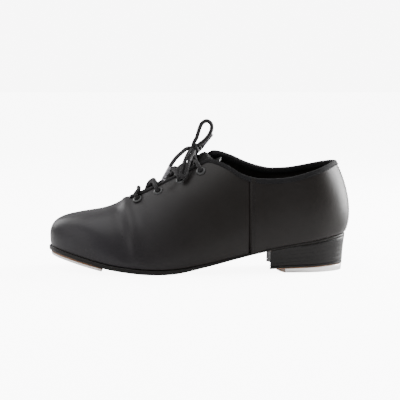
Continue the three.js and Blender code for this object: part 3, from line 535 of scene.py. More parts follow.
def relief(side, s, t):
    p = p_of_s(s)
    x = x_of(p)
    lift = 0.0
    # the flex crease: a soft ridge between two hollows, from the throat down to the ball
    bend = 0.252 + 0.048 * (1 - t) + 0.006 * math.sin(6 * t)
    fade = ease(t / 0.3) * ease((1.0 - t) / 0.05 + 0.25)
    ridge, front, back = bump(p, bend, 0.014), bump(p, bend - 0.034, 0.020), bump(p, bend + 0.036, 0.022)
    lift += fade * (1.5 * ridge - 1.5 * front - 1.1 * back)
    # finer wrinkles beside it, each a little out of true
    for k in range(5):
        shift = bend - 0.055 + 0.028 * k + 0.010 * math.sin(3.1 * k + 6 * t)
        reach = bump(t, 0.30 + 0.11 * k, 0.16)
        lift += -0.16 * reach * bump(p, shift, 0.0045) + 0.08 * reach * bump(p, shift + 0.011, 0.006)
    # small folds where the lasted leather turns under, near the ball
    for k in range(9):
        where = 0.10 + 0.021 * k
        depth = 0.22 * (0.6 + 0.4 * math.sin(7 * k))
        lift -= depth * bump(t, 0.035, 0.06) * bump(p, where + 0.05 * t, 0.0042)
    # the quarter bows out beside the lacing, and draws in behind it
    lift += 0.9 * bump(p, 0.425, 0.045) * bump(t, 0.62, 0.16) - 0.5 * bump(p, 0.50, 0.05) * bump(t, 0.5, 0.2)
    # faint pull lines from the eyelets towards the waist
    for k, centre in enumerate((0.335, 0.405, 0.48)):
        lift += -0.14 * bump(p, centre + 0.10 * (0.75 - t), 0.008) * bump(t, 0.62, 0.13)
    # puckers behind the side seam
    for k in range(4):
        lift += -0.2 * bump(p, SEAM_AT + 0.022 + 0.018 * k, 0.006) * bump(t, 0.15 + 0.1 * k, 0.08)
    # broad, slow unevenness
    ends = ease(t / 0.15) * ease((1 - t) / 0.1)
    lift += 0.18 * math.sin(x / 17 + 2.1 * t * side) * math.sin(5.2 * t + x / 31) * ends
    return lift


def overlap_step(p):
    """The quarter's front edge lies over the vamp: it starts proud and settles down behind."""
    if p < SEAM_AT:
        return 0.0
    rounding = math.sqrt(clamp((p - SEAM_AT) / 0.0032) * (2 - clamp((p - SEAM_AT) / 0.0032)))
    return (0.25 + 0.95 * rounding) * (1 - ease((p - SEAM_AT - 0.004) / 0.05))


def seam_groove(p):
    """A stitched groove in front of the side seam."""
    return -0.95 * bump(p, SEAM_AT - 0.0035, 0.0040)


print("relief at the crease:", round(relief(LATERAL, s_of_p(0.285), 0.6), 2), "mm")

# %% [markdown]
# ## Cutting the upper
# A piece of the upper is a closed wall between two depths. Its columns run round the shoe and its
# rows run up the wall. Where the throat is closed the columns of both sides end on the same ridge
# point, so merging the doubles closes the toe.

# %% Upper walls
def spaced(start, end, steps, exact=()):
    values = [start + (end - start) * i / steps for i in range(steps + 1)]
    for place in exact:
        nearest = min(range(1, steps), key=lambda i: abs(values[i] - place))
        values[nearest] = place
    return values


def round_toe(lateral, medial):
    return [(LATERAL, s) for s in reversed(lateral)] + [(MEDIAL, s) for s in medial[1:]]


def round_heel(lateral, medial):
    return [(MEDIAL, s) for s in reversed(medial[1:])] + [(LATERAL, s) for s in lateral]


def wall_rows(count):
    """Shares of the way up, closer together near the sole and near the top edge."""
    return [0.5 - 0.5 * math.cos(math.pi * (i / count) ** 0.95) for i in range(count + 1)]


def upper_wall(name, columns, outer, inner, rows, raised=None):
    """A closed wall. outer and inner give depths, raised how far a place stands proud."""
    points, faces = [], []
    count = len(rows)
    for layer, depth_of in ((0, outer), (1, inner)):
        for side, s in columns:
            p, top = p_of_s(s), top_edge(side, s)
            for r in rows:
                t = top * r
                depth = depth_of(p, r) - (raised(side, s, t) if raised else 0.0)
                points.append(last_point(side, s, t, depth))
    shift = len(columns) * count
    for j in range(len(columns) - 1):
        for i in range(count - 1):
            a, b = j * count + i, (j + 1) * count + i
            faces.append((a, b, b + 1, a + 1))
            faces.append((shift + a + 1, shift + b + 1, shift + b, shift + a))
        a, b = j * count, (j + 1) * count
        faces.append((shift + a, shift + b, b, a))
        k = count - 1
        closed = top_edge(*columns[j]) >= 1 and top_edge(*columns[j + 1]) >= 1
        if not closed:
            faces.append((a + k, b + k, shift + b + k, shift + a + k))
    for j in (0, len(columns) - 1):
        for i in range(count - 1):
            a = j * count + i
            ring = (a, a + 1, shift + a + 1, shift + a)
            faces.append(ring if j == 0 else ring[::-1])
    return put(name, points, faces)


SEAM_S = s_of_p(SEAM_AT)
rows = wall_rows(44)
seam_front = [SEAM_S - 0.020 + 0.0013 * i for i in range(19)]
front = {side: spaced(0, SEAM_S - 0.022, 116, [s_of_p(THROAT_AT), s_of_p(FACING_TOP[side])]) + seam_front
         for side in (LATERAL, MEDIAL)}
vamp = upper_wall("vamp_leather", round_toe(front[LATERAL], front[MEDIAL]),
                  lambda p, r: 0.0 if p < SEAM_AT - 0.004 else 0.35, lambda p, r: LEATHER, rows,
                  lambda side, s, t: relief(side, s, t) + seam_groove(p_of_s(s)))
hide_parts("vamp")
print("vamp:", len(vamp.data.polygons), "faces")
quarters = []
for name, side in (("lateral", LATERAL), ("medial", MEDIAL)):
    stations = [SEAM_S + 0.0007 * i for i in range(9)] + spaced(SEAM_S + 0.0085, 0.9992, 60)
    columns = [(side, s) for s in stations]
    quarter = upper_wall("quarter_leather_" + name, columns, lambda p, r: -0.12, lambda p, r: LEATHER - 0.1,
                         rows,
                         lambda side, s, t: relief(side, s, t) + overlap_step(p_of_s(s))
                         - 0.35 * bump(s, 1.0, 0.012))
    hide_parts("quarter_" + name)
    quarters.append(quarter)
back = spaced(1, SEAM_S, 64)
linings = [upper_wall("quarter_lining_cloth", round_heel(back, back), lining_face,
                      lambda p, r: lining_face(p, r) + LINING, rows),
           upper_wall("vamp_lining_cloth", round_toe(front[LATERAL], front[MEDIAL]), lining_face,
                      lambda p, r: lining_face(p, r) + LINING, wall_rows(24))]
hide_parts("quarter_lining")
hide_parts("vamp_lining")
print("quarters and linings made")

# %% [markdown]
# ## The tape round the top edge
# A folded cotton tape hides the cut edges of leather and lining. Its section is a narrow U with a
# round top; it is swept along the throat and the collar, so it keeps its width round every turn.

# %% Binding tape
TAPE, TAPE_WIDTH, TAPE_START = 0.7, 4.0, 0.27


def tape_section(side, s):
    top = top_edge(side, s)
    step = (last_point(side, s, top) - last_point(side, s, top - 0.02)).length / 0.02
    leg_t = top - TAPE_WIDTH / step
    up = (last_point(side, s, top) - last_point(side, s, top - 0.02)).normalized()
    outside, inside = -GLUE - TAPE, WALL + GLUE + TAPE
    middle, half = (outside + inside) / 2, (inside - outside) / 2
    pucker = 0.06 * math.sin(x_of(p_of_s(s)) * 1.9)
    ring = [last_point(side, s, leg_t, outside + 0.25),
            last_point(side, s, leg_t + 0.3 / step, outside + pucker),
            last_point(side, s, (leg_t + top) / 2, outside - 0.12)]
    for k in range(9):
        turn = math.pi * k / 8
        ring.append(last_point(side, s, top, middle - half * math.cos(turn)) + up * (1.25 * math.sin(turn)))
    ring += [last_point(side, s, (leg_t + top) / 2, inside + 0.1),
             last_point(side, s, leg_t + 0.3 / step, inside),
             last_point(side, s, leg_t, inside - TAPE)]
    ring += [last_point(side, s, top, inside - TAPE) + up * 0.3, last_point(side, s, top, -GLUE) + up * 0.3,
             last_point(side, s, leg_t, -GLUE + 0.1)]
    return ring


def around_collar(start_s, end_s, steps):
    lateral = spaced(end_s, start_s, steps, [s_of_p(FACING_TOP[LATERAL])])
    medial = spaced(end_s, start_s, steps, [s_of_p(FACING_TOP[MEDIAL])])
    return round_heel(lateral, medial)


tape_columns = around_collar(s_of_p(TAPE_START), 1.0, 150)
points, faces = rings_to_mesh([tape_section(side, s) for side, s in tape_columns])
binding = put("binding_tape_folded", points, faces)
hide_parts("topline_binding")
print("binding:", len(binding.data.polygons), "faces")

# %% [markdown]
# ## Tongue
# The tongue is a padded strip under the lacing. Its edges are pinched thin and it ends in a soft
# curve above the top eyelets. Where the facings leave it room, under the knot, its foam swells
# out between them. It is shaped by rule and not by a cloth simulation, so that the swell stays
# clear of the facings and carries the lace.

# %% Tongue
LACE_DEPTH = WALL + 1.3 + LACE_DIAMETER / 2 + 0.7
TONGUE_FACE = (LACE_DEPTH + LACE_DIAMETER / 2 + 0.5) / 0.76
TONGUE_THICK, TONGUE_FROM, TONGUE_TO = 2.6, 0.228, 0.585
FOAM_LIFT, FOAM_SWELL, LACE_DENT = 5.8, 11.2, 0.43
tongue_edge = through([(TONGUE_FROM, 0.8), (0.3, 0.73), (0.42, 0.65), (0.54, 0.62, 0), (0.57, 0.68),
                       (TONGUE_TO, 0.78)])


def tongue_reach(p):
    """The tongue's edge as cut, with its upper corners rounded off."""
    return tongue_edge(p) + 0.17 * ease((p - 0.560) / 0.025) ** 2


def tongue_puff(p, v):
    """How far the foam stands above the tongue's flat face. It swells out between the facings,
    and the lace presses a dent into it."""
    edge = abs(2 * v - 1)
    wave = math.sin(26 * (p - TONGUE_FROM) / (TONGUE_TO - TONGUE_FROM) + 0.8)
    quilted = 0.5 * (1 - edge ** 4) * (0.7 + 0.3 * wave)
    lifted = FOAM_LIFT * bump(p, 0.475, 0.055) * (1 - ease(edge / 0.62))
    along = ease((p - 0.412) / 0.022) * ease((0.565 - p) / 0.04)
    pressed = 1 - LACE_DENT * bump(p, 0.4805, 0.022)
    facing_edge = 0.46 if v < 0.5 else 0.29
    return quilted + lifted + FOAM_SWELL * along * pressed * (1 - ease(edge / facing_edge))


def tongue_ring(u):
    p = TONGUE_FROM + (TONGUE_TO - TONGUE_FROM) * u
    ring = []
    for face in (0, 1):
        across = [i / 60 for i in range(61)]
        for v in (across if face == 0 else across[::-1]):
            edge = abs(2 * v - 1)
            t = 1 - (1 - tongue_reach(p)) * edge
            pinch = 1.05 * ease((edge - 0.72) / 0.28)
            depth = (TONGUE_FACE + 0.2 + pinch - tongue_puff(p, v) if face == 0
                     else TONGUE_FACE + TONGUE_THICK - pinch)
            ring.append(last_point(LATERAL if v < 0.5 else MEDIAL, s_of_p(p), t, depth))
    return ring


points, faces = rings_to_mesh([tongue_ring(i / 70) for i in range(71)])
tongue = put("tongue_padded", points, faces, body="tongue")
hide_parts("tongue")
print("tongue:", len(tongue.data.polygons), "faces")

# %% [markdown]
# ## The bottom of the shoe
# Sole, boards and taps are slabs: a plan, a height along the shoe for the underside and another
# for the top. A slab's rim may have its own profile, so the sole's edge can be trimmed and rounded
# the way a finisher shapes it with a hot iron.

# %% Slabs
TIP_S = 0.012


def plan_edge(side, s, inset):
    p = p_of_s(s)
    foot = Vector((x_of(p), plan[side](s)))
    ridge = Vector((ridge_x(foot.x), ridge_y_at(p)))
    return foot + (ridge - foot).normalized() * inset


def slab(name, start, end, steps, rim):
    """rim gives a list of (inset, height function) from the underside's edge to the top's edge."""
    points, faces = [], []
    lateral = spaced(start, end, steps)
    outline = [(LATERAL, s) for s in lateral] + [(MEDIAL, s) for s in reversed(lateral)]
    layers = len(rim(0.5))
    for side, s in outline:
        for inset, height in rim(p_of_s(s)):
            place = plan_edge(side, s, inset)
            points.append(Vector((place.x, place.y, height(place.x))))
    total = len(outline)
    for j in range(total):
        n = (j + 1) % total
        for i in range(layers - 1):
            faces.append((j * layers + i, n * layers + i, n * layers + i + 1, j * layers + i + 1))
    # underside and top are filled with cross strips, so that they bend along the shoe
    for layer in (0, layers - 1):
        for j in range(steps):
            strip = (j, j + 1, total - 2 - j, total - 1 - j)
            faces.append(tuple(corner * layers + layer for corner in strip))
    return put(name, points, faces)


def stepped(inset, *steps):
    """A rim whose insets are all counted from one."""
    return [(inset + out, height) for out, height in steps]


def over(offset):
    return lambda x: sole_top(x) + offset


def under(offset):
    return lambda x: sole_bottom(x) - offset


ledge_at = through([(0, 1.6, 0), (0.3, 1.9, 0), (0.5, 0.5, 0), (0.7, -0.7, 0), (0.86, -0.2), (1, 1.6, 0)])


def sole_rim(p):
    """From the underside up: a small bevel, the inked face, and the bevel that makes the welt line."""
    out = -ledge_at(p)
    fore = 1 - ease((p - 0.5) / 0.15)
    thick = sole_thickness_at(p)
    return [(out + 0.9, under(0)), (out + 0.35, under(-0.12)), (out + 0.05, under(-0.5)),
            (out, under(-thick * 0.4)),
            (out, under(-thick * 0.62)), (out + 0.12, under(-(thick - 0.75))),
            (out + 0.42 * fore + 0.1, under(-(thick - 0.38))), (out + 1.1 * fore + 0.25, over(0))]


outsole = slab("outsole_leather", TIP_S, 1 - TIP_S, 150, sole_rim)
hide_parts("outsole")
print("outsole:", len(outsole.data.polygons), "faces")

# %% [markdown]
# ## Sock lining
# The foot stands on a thin cloth-covered sock. Its edge turns down a little beside the lining.

# %% Sock
INSOLE_FROM = LEATHER + 2 * GLUE
SOCK_FROM = INSOLE_FROM + 2.0 + GLUE
BOARD_INSET = UNDER_STIFFENER + LINING + 0.5
SOCK_INSET = BOARD_INSET - 1.1      # pressed a little into the lining cloth, so nothing shows past its edge
sock = slab("sock_lining_cloth", 0.022, 1 - 0.022, 90,
            lambda p: stepped(SOCK_INSET, (0, over(SOCK_FROM)), (0, over(SOCK_FROM + 0.6)),
                              (0.5, over(SOCK_FROM + 1.0))))
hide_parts("sock_lining")
print("sock made")

# %% [markdown]
# ## Taps
# The taps are cast aluminium. Their sounding faces are flat, their edges are rounded by tumbling,
# and countersunk screws hold them, loose enough to ring. A fibre board under the toe tap gives the
# tap something hard to strike. Screw holes are cut with a Boolean modifier, as a drill would.

# %% Cutters and holes
GAP_BOARD, TAP_METAL = 1.0, 2.7
TOE_TAP_TOP = GLUE + GAP_BOARD + GLUE
HEEL_TAP_FRONT, HEEL_TAP_RISE, TOP_LIFT = 3.4, 0.04, 2.4
TAP_TIP_S = 0.018
TAP_TILT = math.atan(-TOE_SLOPE / SOLE_LENGTH)
BREAST_X = x_of(BREAST_AT)
tap_inset = through([(0, 0.2, 0), (0.1, 1.5), (TAP_END, 5)])
heel_inset_at = through([(0.7, 0.9, 0), (0.86, 0.5), (1, -1.4)])
heel_draft_at = through([(0.7, 1.1, 0), (1, 2.3)])


def heel_tap_top(x):
    return HEEL_TAP_FRONT + HEEL_TAP_RISE * (x - BREAST_X)


def lift_bottom(x):
    return heel_tap_top(x) + GLUE


def lift_top(x):
    return lift_bottom(x) + TOP_LIFT


def heel_foot(p):
    return heel_inset_at(p) + heel_draft_at(p)


def turned(profile, steps=40):
    """A solid of revolution about Z from (radius, height) pairs, as loose points and faces."""
    rings = [[Vector((r * math.cos(2 * math.pi * i / steps), r * math.sin(2 * math.pi * i / steps), h))
              for i in range(steps)] for r, h in profile]
    return rings_to_mesh(rings)


def solid_mesh(name, points, faces, shaded=False):
    """A closed mesh with its doubles merged and its faces turned outwards."""
    mesh = new_mesh(name, points, faces)
    work = bmesh.new()
    work.from_mesh(mesh)
    bmesh.ops.remove_doubles(work, verts=work.verts, dist=1e-6)
    bmesh.ops.recalc_face_normals(work, faces=work.faces)
    if shaded:
        shade(work)
    work.to_mesh(mesh)
    work.free()
    return mesh


def joined(parts):
    """Several point-and-face lists as one."""
    points, faces = [], []
    for more_points, more_faces in parts:
        start = len(points)
        points += more_points
        faces += [tuple(i + start for i in face) for face in more_faces]
    return points, faces


def carve(piece, points, faces, operation="DIFFERENCE"):
    tool = linked("carving tool", solid_mesh("cutter", points, faces))
    boolean = piece.modifiers.new("Carved", "BOOLEAN")
    boolean.operation = operation
    boolean.solver = "EXACT"
    boolean.object = tool
    baked(piece)
    bpy.data.objects.remove(tool)
    work = bmesh.new()
    work.from_mesh(piece.data)
    bmesh.ops.remove_doubles(work, verts=work.verts, dist=1e-6)
    shade(work)
    work.to_mesh(piece.data)
    work.free()
    return piece


def placed(part, matrix):
    points, faces = part
    return [matrix @ p for p in points], faces


def screw_places():
    """Where each tap screw's head lies, and which way its shank points."""
    tilt = Quaternion((0, 1, 0), TAP_TILT)
    found = []
    for p, off in ((0.035, 0), (0.135, -22), (0.135, 24)):
        x = x_of(p)
        z = sole_bottom(x) - TOE_TAP_TOP - TAP_METAL + 0.25
        found.append(("toe", Vector((x, ridge_y_at(p) + off, z)), tilt))
    for p, y in ((0.94, 0), (0.83, -15), (0.83, 15)):
        found.append(("heel", Vector((x_of(p), y, 0.4)), Quaternion()))
    return found


SCREW_HEAD, SCREW_SHANK = 3.1, 1.5
countersink = turned([(SCREW_SHANK + 0.25, 14), (SCREW_SHANK + 0.25, 1.9),
                      (SCREW_HEAD + 0.3, 0.1), (SCREW_HEAD + 0.3, -2)])
sinks = {"toe": [], "heel": []}
for tap, place, tilt in screw_places():
    sinks[tap].append(placed(countersink, Matrix.LocRotScale(place, tilt, None)))
tap_base = TOE_TAP_TOP + TAP_METAL
toe_tap = slab("toe_tap_cast", TAP_TIP_S, s_of_p(TAP_END), 60, lambda p: stepped(
    tap_inset(p), (1.4, under(tap_base)), (0.9, under(tap_base - 0.15)), (0.55, under(tap_base - 0.6)),
    (0.25, under(TOE_TAP_TOP + 1.0)), (0.15, under(TOE_TAP_TOP + 0.25)), (0.4, under(TOE_TAP_TOP))))
carve(toe_tap, *joined(sinks["toe"]))
bevelled(toe_tap, 0.25, 2)
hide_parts("toe_tap")
soundboard = slab("toe_soundboard_fibre", TAP_TIP_S, s_of_p(TAP_END + 0.006), 50, lambda p: stepped(
    tap_inset(p), (0.4, under(GLUE + GAP_BOARD)), (0.4, under(GLUE))))
carve(soundboard, *joined(sinks["toe"]))
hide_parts("toe_soundboard")
print("toe tap and its board made")

# %% [markdown]
# ## Heel
# The heel is a stack of leather layers, pressed, trimmed and inked black. The joints between the
# layers stay as faint lines round it. Its front, the breast, is cut with a shallow hollow, and
# under it lie a last layer of tan leather and the heel tap.

# %% Heel
HEEL_FROM = s_of_p(BREAST_AT - 0.018)
BREAST_RADIUS, TAP_NOSE_RADIUS = 70, 58


def cylinder(radius, low, high, matrix, steps=96):
    return placed(turned([(radius, low), (radius, high)], steps), matrix)


breast_tool = cylinder(BREAST_RADIUS, -40, 40, Matrix.Translation((BREAST_X - BREAST_RADIUS + 2.4, -3, 10))
                       @ Matrix.Rotation(0.07, 4, "Y"), 160)
block_top = under(GLUE)


def block_bottom(x):
    return lift_top(x) + GLUE


STACK_JOINTS = (0.22, 0.42, 0.62, 0.815)
joint_grooves = [(joint + reach, dip) for joint in STACK_JOINTS
                 for reach, dip in ((-0.015, 0), (0, 0.05), (0.015, 0))]


def block_rim(p):
    """Sides drawn in a little at the waist of the heel, with a groove at each joint of the stack."""
    rim = []
    for share, dip in [(0, 0.35), (0.012, 0.08), (0.03, 0), *joint_grooves, (0.985, 0), (1, 0.2)]:
        inset = heel_foot(p) + (heel_inset_at(p) - heel_foot(p)) * share
        inset += 0.35 * math.sin(math.pi * share) + dip
        rim.append((inset, lambda x, share=share: block_bottom(x) + (block_top(x) - block_bottom(x)) * share))
    return rim


heel_block = slab("heel_block_stacked", HEEL_FROM, 1 - TIP_S, 90, block_rim)
carve(heel_block, *joined([breast_tool]))
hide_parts("heel_block")
top_lift = slab("heel_top_lift_leather", HEEL_FROM, 1 - TIP_S, 90, lambda p: stepped(
    heel_foot(p), (0.45, lift_bottom), (0.15, lambda x: lift_bottom(x) + 0.3),
    (0.1, lambda x: lift_top(x) - 0.3), (0.4, lift_top)))
carve(top_lift, *joined([breast_tool] + sinks["heel"]))
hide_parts("heel_top_lift")
heel_tap = slab("heel_tap_cast", s_of_p(BREAST_AT), 1 - TIP_S, 90, lambda p: stepped(
    heel_foot(p), (1.9, lambda x: 0.0), (1.3, lambda x: 0.14), (0.95, lambda x: 0.55),
    (0.6, lambda x: heel_tap_top(x) - 0.5), (0.65, lambda x: heel_tap_top(x) - 0.15), (0.85, heel_tap_top)))
carve(heel_tap, *cylinder(TAP_NOSE_RADIUS, -15, 15,
                          Matrix.Translation((BREAST_X + 4 + TAP_NOSE_RADIUS, 0, 0)), 200),
      operation="INTERSECT")
carve(heel_tap, *joined(sinks["heel"]))
bevelled(heel_tap, 0.25, 2)
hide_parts("heel_tap")
print("heel block:", len(heel_block.data.polygons), "faces; heel tap:", len(heel_tap.data.polygons))

# %% [markdown]
# ## One tree that sets parts on points
# Eyelets and screws repeat. A Geometry Nodes tree sets a template on each point of a small mesh.
# Each point stores two directions, so that the part stands square to the surface and turned the
# right way, plus a small seeded turn, because no fitter lines up every screw slot.

# %% Set parts on points
def new_tree(name, inputs):
    tree = bpy.data.node_groups.new(name, "GeometryNodeTree")
    tree.interface.new_socket("Geometry", in_out="INPUT", socket_type="NodeSocketGeometry")
    for label, kind, value in inputs:
        socket = tree.interface.new_socket(label, in_out="INPUT", socket_type=kind)
        if value is not None:
            socket.default_value = value
    tree.interface.new_socket("Geometry", in_out="OUTPUT", socket_type="NodeSocketGeometry")
    return tree, tree.nodes.new("NodeGroupInput"), tree.nodes.new("NodeGroupOutput")


def node(tree, kind, settings=None, **links):
    """A node with its settings, and its sockets set or linked. Spaces in socket names are underscores."""
    made = tree.nodes.new(kind)
    for key, value in (settings or {}).items():
        setattr(made, key, value)
    for key, value in links.items():
        numbered = key[0] == "i" and key[1:].isdigit()
        socket = made.inputs[int(key[1:]) if numbered else key.replace("_", " ")]
        if isinstance(value, bpy.types.NodeSocket):
            tree.links.new(value, socket)
        else:
            socket.default_value = value
    return made


def direction(tree, label):
    return node(tree, "GeometryNodeInputNamedAttribute", {"data_type": "FLOAT_VECTOR"}, Name=label).outputs[0]


def finish_tree(tree, group_out, instances, material):
    real = node(tree, "GeometryNodeRealizeInstances", Geometry=instances).outputs[0]
    painted = node(tree, "GeometryNodeSetMaterial", Geometry=real, Material=material).outputs[0]
    tree.links.new(painted, group_out.inputs[0])


def set_on_points():
    tree, given, group_out = new_tree("Set parts on points", [
        ("Part", "NodeSocketObject", None), ("Finish", "NodeSocketMaterial", None),
        ("Loose Turn", "NodeSocketFloat", 0.0), ("Seed", "NodeSocketInt", 3)])
    part = node(tree, "GeometryNodeObjectInfo", {"transform_space": "ORIGINAL"}, Object=given.outputs["Part"])
    frame_turn = node(tree, "FunctionNodeAxesToRotation", {"primary_axis": "Z", "secondary_axis": "X"},
                      i0=direction(tree, "out"), i1=direction(tree, "along")).outputs[0]
    least = node(tree, "ShaderNodeMath", {"operation": "MULTIPLY"}, i0=given.outputs["Loose Turn"],
                 i1=-1.0).outputs[0]
    loose = node(tree, "FunctionNodeRandomValue", {"data_type": "FLOAT"}, i2=least,
                 i3=given.outputs["Loose Turn"],
                 Seed=given.outputs["Seed"]).outputs[1]
    spin = node(tree, "ShaderNodeCombineXYZ", Z=loose).outputs[0]
    turned_part = node(tree, "FunctionNodeRotateRotation", {"rotation_space": "LOCAL"}, i0=frame_turn,
                       i1=spin).outputs[0]
    seats = node(tree, "GeometryNodeMeshToPoints", Mesh=given.outputs["Geometry"]).outputs[0]
    set_there = node(tree, "GeometryNodeInstanceOnPoints", Points=seats, Instance=part.outputs["Geometry"],
                     Rotation=turned_part).outputs[0]
    finish_tree(tree, group_out, set_there, given.outputs["Finish"])
    return tree


def grown(name, tree, seats, values, body="shoe"):
    """Runs a tree on a mesh of places and keeps the result as one plain mesh."""
    holder = linked(name + "_places", seats)
    modifier = holder.modifiers.new("Nodes", "NODES")
    modifier.node_group = tree
    for item in tree.interface.items_tree:
        if item.in_out == "INPUT" and item.name in values:
            modifier[item.identifier] = values[item.name]
    bpy.context.view_layer.update()
    mesh = bpy.data.meshes.new_from_object(holder.evaluated_get(bpy.context.evaluated_depsgraph_get()))
    bpy.data.objects.remove(holder)
    mesh.name = name
    mesh.materials.clear()
    mesh.materials.append(values.get("Finish") or values["Thread"])
    piece = linked(name, mesh)
    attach(piece, body)
    return piece


def places_mesh(name, places, edges=()):
    """Points with an outward and an along direction, for a tree to read."""
    mesh = bpy.data.meshes.new(name)
    mesh.from_pydata([Vector(point) * MM for point, _, _ in places], list(edges), [])
    for label, index in (("out", 1), ("along", 2)):
        attribute = mesh.attributes.new(label, "FLOAT_VECTOR", "POINT")
        for i, place in enumerate(places):
            attribute.data[i].vector = place[index]
    return mesh


def template(name, points, faces):
    """An object that a tree copies and that is removed afterwards."""
    return linked(name, solid_mesh(name, points, faces, shaded=True))


def plain_material(name):
    material = bpy.data.materials.new(name)
    material.use_nodes = True
    return material


part_tree = set_on_points()
print("tree:", part_tree.name, "with", len(part_tree.nodes), "nodes")

# %% [markdown]
# ## Screws
# Each tap is held by three countersunk wood screws with a cross-shaped recess.

# %% Tap screws
screw_steel = plain_material("screw_steel")
screw_profile = [(SCREW_SHANK, 6), (SCREW_SHANK, 1.7), (SCREW_HEAD - 0.1, 0.32), (SCREW_HEAD, 0.2),
                 (SCREW_HEAD - 0.05, 0.08), (SCREW_HEAD - 0.4, 0.0), (1.2, -0.12), (0.3, -0.14)]
screw = template("screw template", *turned(screw_profile, 36))
recess = []
for turn in (0, math.pi / 2):
    recess.append(placed(([Vector((x, y, z)) for z, k in ((-1, 1), (1.1, 0.55)) for x, y in
                           ((-1.75 * k, -0.36), (1.75 * k, -0.36), (1.75 * k, 0.36), (-1.75 * k, 0.36))],
                          [(3, 2, 1, 0), (4, 5, 6, 7), (0, 1, 5, 4), (1, 2, 6, 5), (2, 3, 7, 6),
                           (3, 0, 4, 7)]),
                         Matrix.Rotation(turn, 4, "Z")))
for cut in recess:
    carve(screw, *cut)
seats = [(place, tilt @ Vector((0, 0, 1)), tilt @ Vector((1, 0, 0))) for _, place, tilt in screw_places()]
tap_screws = grown("tap_screws", part_tree, places_mesh("screw places", seats),
                   {"Part": screw, "Finish": screw_steel, "Loose Turn": 1.4, "Seed": 11})
bpy.data.objects.remove(screw)
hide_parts(*[f"{tap}_tap_screw_{i}" for tap in ("toe", "heel") for i in (1, 2, 3)])
print("tap screws:", len(tap_screws.data.polygons), "faces")

# %% [markdown]
# ## Eyelets
# Four pairs of black enamelled eyelets are punched through leather and lining. The hole is cut
# first, then each eyelet is set square to the leather: a rolled rim outside, a tube through the
# hole, and a spread edge inside.

# %% Eyelets
EYELET_STATIONS, EYELET_SETBACK = [0.3, 0.371, 0.446, 0.515], 9.0
EYELET_BORE, EYELET_RIM = 2.3, 4.7
eyelets = {}
for side in (LATERAL, MEDIAL):
    for number, p in enumerate(EYELET_STATIONS, 1):
        ridge = ridge_y_at(p)
        y = throat_y(p) + side * (throat_half(p) + EYELET_SETBACK)
        s = s_of_p(p)
        t = find_t(lambda u: -abs(last_point(side, s, u).y - ridge), -abs(y - ridge))
        eyelets[side, number] = wall_frame(side, s, t)
drills = []
for point, normal, up, along in eyelets.values():
    turn = Vector((0, 0, 1)).rotation_difference(normal)
    drills.append(cylinder(EYELET_BORE + 0.62, -WALL - 5, 5, Matrix.LocRotScale(point, turn, None), 28))
for leather in (vamp, linings[1]):
    carve(leather, *joined(drills))
BACK = -WALL - 0.9
rim_profile = [(EYELET_BORE, BACK - 0.3), (EYELET_BORE - 0.02, -1.2), (EYELET_BORE, 0.2), (2.4, 0.62),
               (2.66, 0.95), (3.05, 1.14),
               (3.5, 1.15), (3.95, 1.04), (4.35, 0.82), (4.62, 0.52), (EYELET_RIM, 0.22), (4.6, 0.02),
               (4.2, -0.04),
               (2.75, -0.04), (2.7, BACK), (3.3, BACK), (3.35, BACK - 0.2), (3.2, BACK - 0.4),
               (2.5, BACK - 0.45)]
spokes = [2 * math.pi * i / 44 for i in range(45)]
rings = [[Vector((r * math.cos(a), r * math.sin(a), h)) for r, h in rim_profile] for a in spokes]
points, faces = rings_to_mesh(rings, caps=False)
eyelet_part = template("eyelet template", points, faces)
eyelet_enamel = plain_material("eyelet_enamel")
seats = [(point, normal, along) for point, normal, up, along in eyelets.values()]
eyelet_set = grown("eyelets_enamelled", part_tree, places_mesh("eyelet places", seats),
                   {"Part": eyelet_part, "Finish": eyelet_enamel, "Loose Turn": 3.0, "Seed": 5})
bpy.data.objects.remove(eyelet_part)
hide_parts(*[f"eyelet_{name}_{i}" for name in ("lateral", "medial") for i in (1, 2, 3, 4)])
print("eyelets:", len(eyelet_set.data.polygons), "faces")

# %% [markdown]
# ## The laced part of the lace
# The lace dives over an eyelet's rim, down through it, and under the facing to the next pair. The
# route is the CAD's route, with many more sides to the tube. Only the last crossing, between the
# third and fourth eyelets, is higher: there the lace lies over the tongue's swelling foam.

# %% Lacing route
OVER_RIM = 1.15 + LACE_DIAMETER / 2 + 0.5
HIGH_CROSS, LOW_CROSS = -1.3, 2.9
OVER_FOAM, IN_FOAM = -6.6, -2.7


def thread_down(e, coming_from, going_to):
    point, normal = e[0], e[1]

    def level(v):
        offset = v - point
        return (offset - normal * offset.dot(normal)).normalized()

    def place(way, out, height):
        return point + way * out + normal * height

    in_way, out_way = level(coming_from), level(going_to)
    return [place(in_way, 4.4, OVER_RIM + 0.1), place(in_way, 2.3, OVER_RIM - 0.15),
            place(in_way, 0.9, OVER_RIM - 0.95),
            place(in_way, 0.25, 0.9), place(out_way, 0.1, -1.6), place(out_way, 0.25, -WALL - 0.9),
            place(out_way, 1.1, -LACE_DEPTH + 0.75), place(out_way, 2.6, -LACE_DEPTH),
            place(out_way, 5.2, -LACE_DEPTH)]


def ridge_point(x, depth):
    return skin_point(p_of(x), throat_y(p_of(x)), depth)


def over_edge(side, x, out):
    p = p_of(x)
    return skin_point(p, throat_y(p) + side * (throat_half(p) + out), -GLUE - TAPE - LACE_DIAMETER / 2 - 1.3)


def under_edge(side, start, end):
    p = p_of(start[0].x + (end[0].x - start[0].x) * 0.27)
    return skin_point(p, throat_y(p) + side * (throat_half(p) - 0.6), LACE_DEPTH / 0.9)


def crossing(side, start, end, depth):
    middle = start[0].x + (end[0].x - start[0].x) * 0.5
    edge = start[0].x + (end[0].x - start[0].x) * 0.72
    return [under_edge(side, start, end), ridge_point(middle, depth), over_edge(-side, edge, -2.3),
            over_edge(-side, edge + 1.2, 1.2)]


def middle_of(k):
    return ridge_point((eyelets[LATERAL, k][0].x + eyelets[LATERAL, k + 1][0].x) / 2, 0)


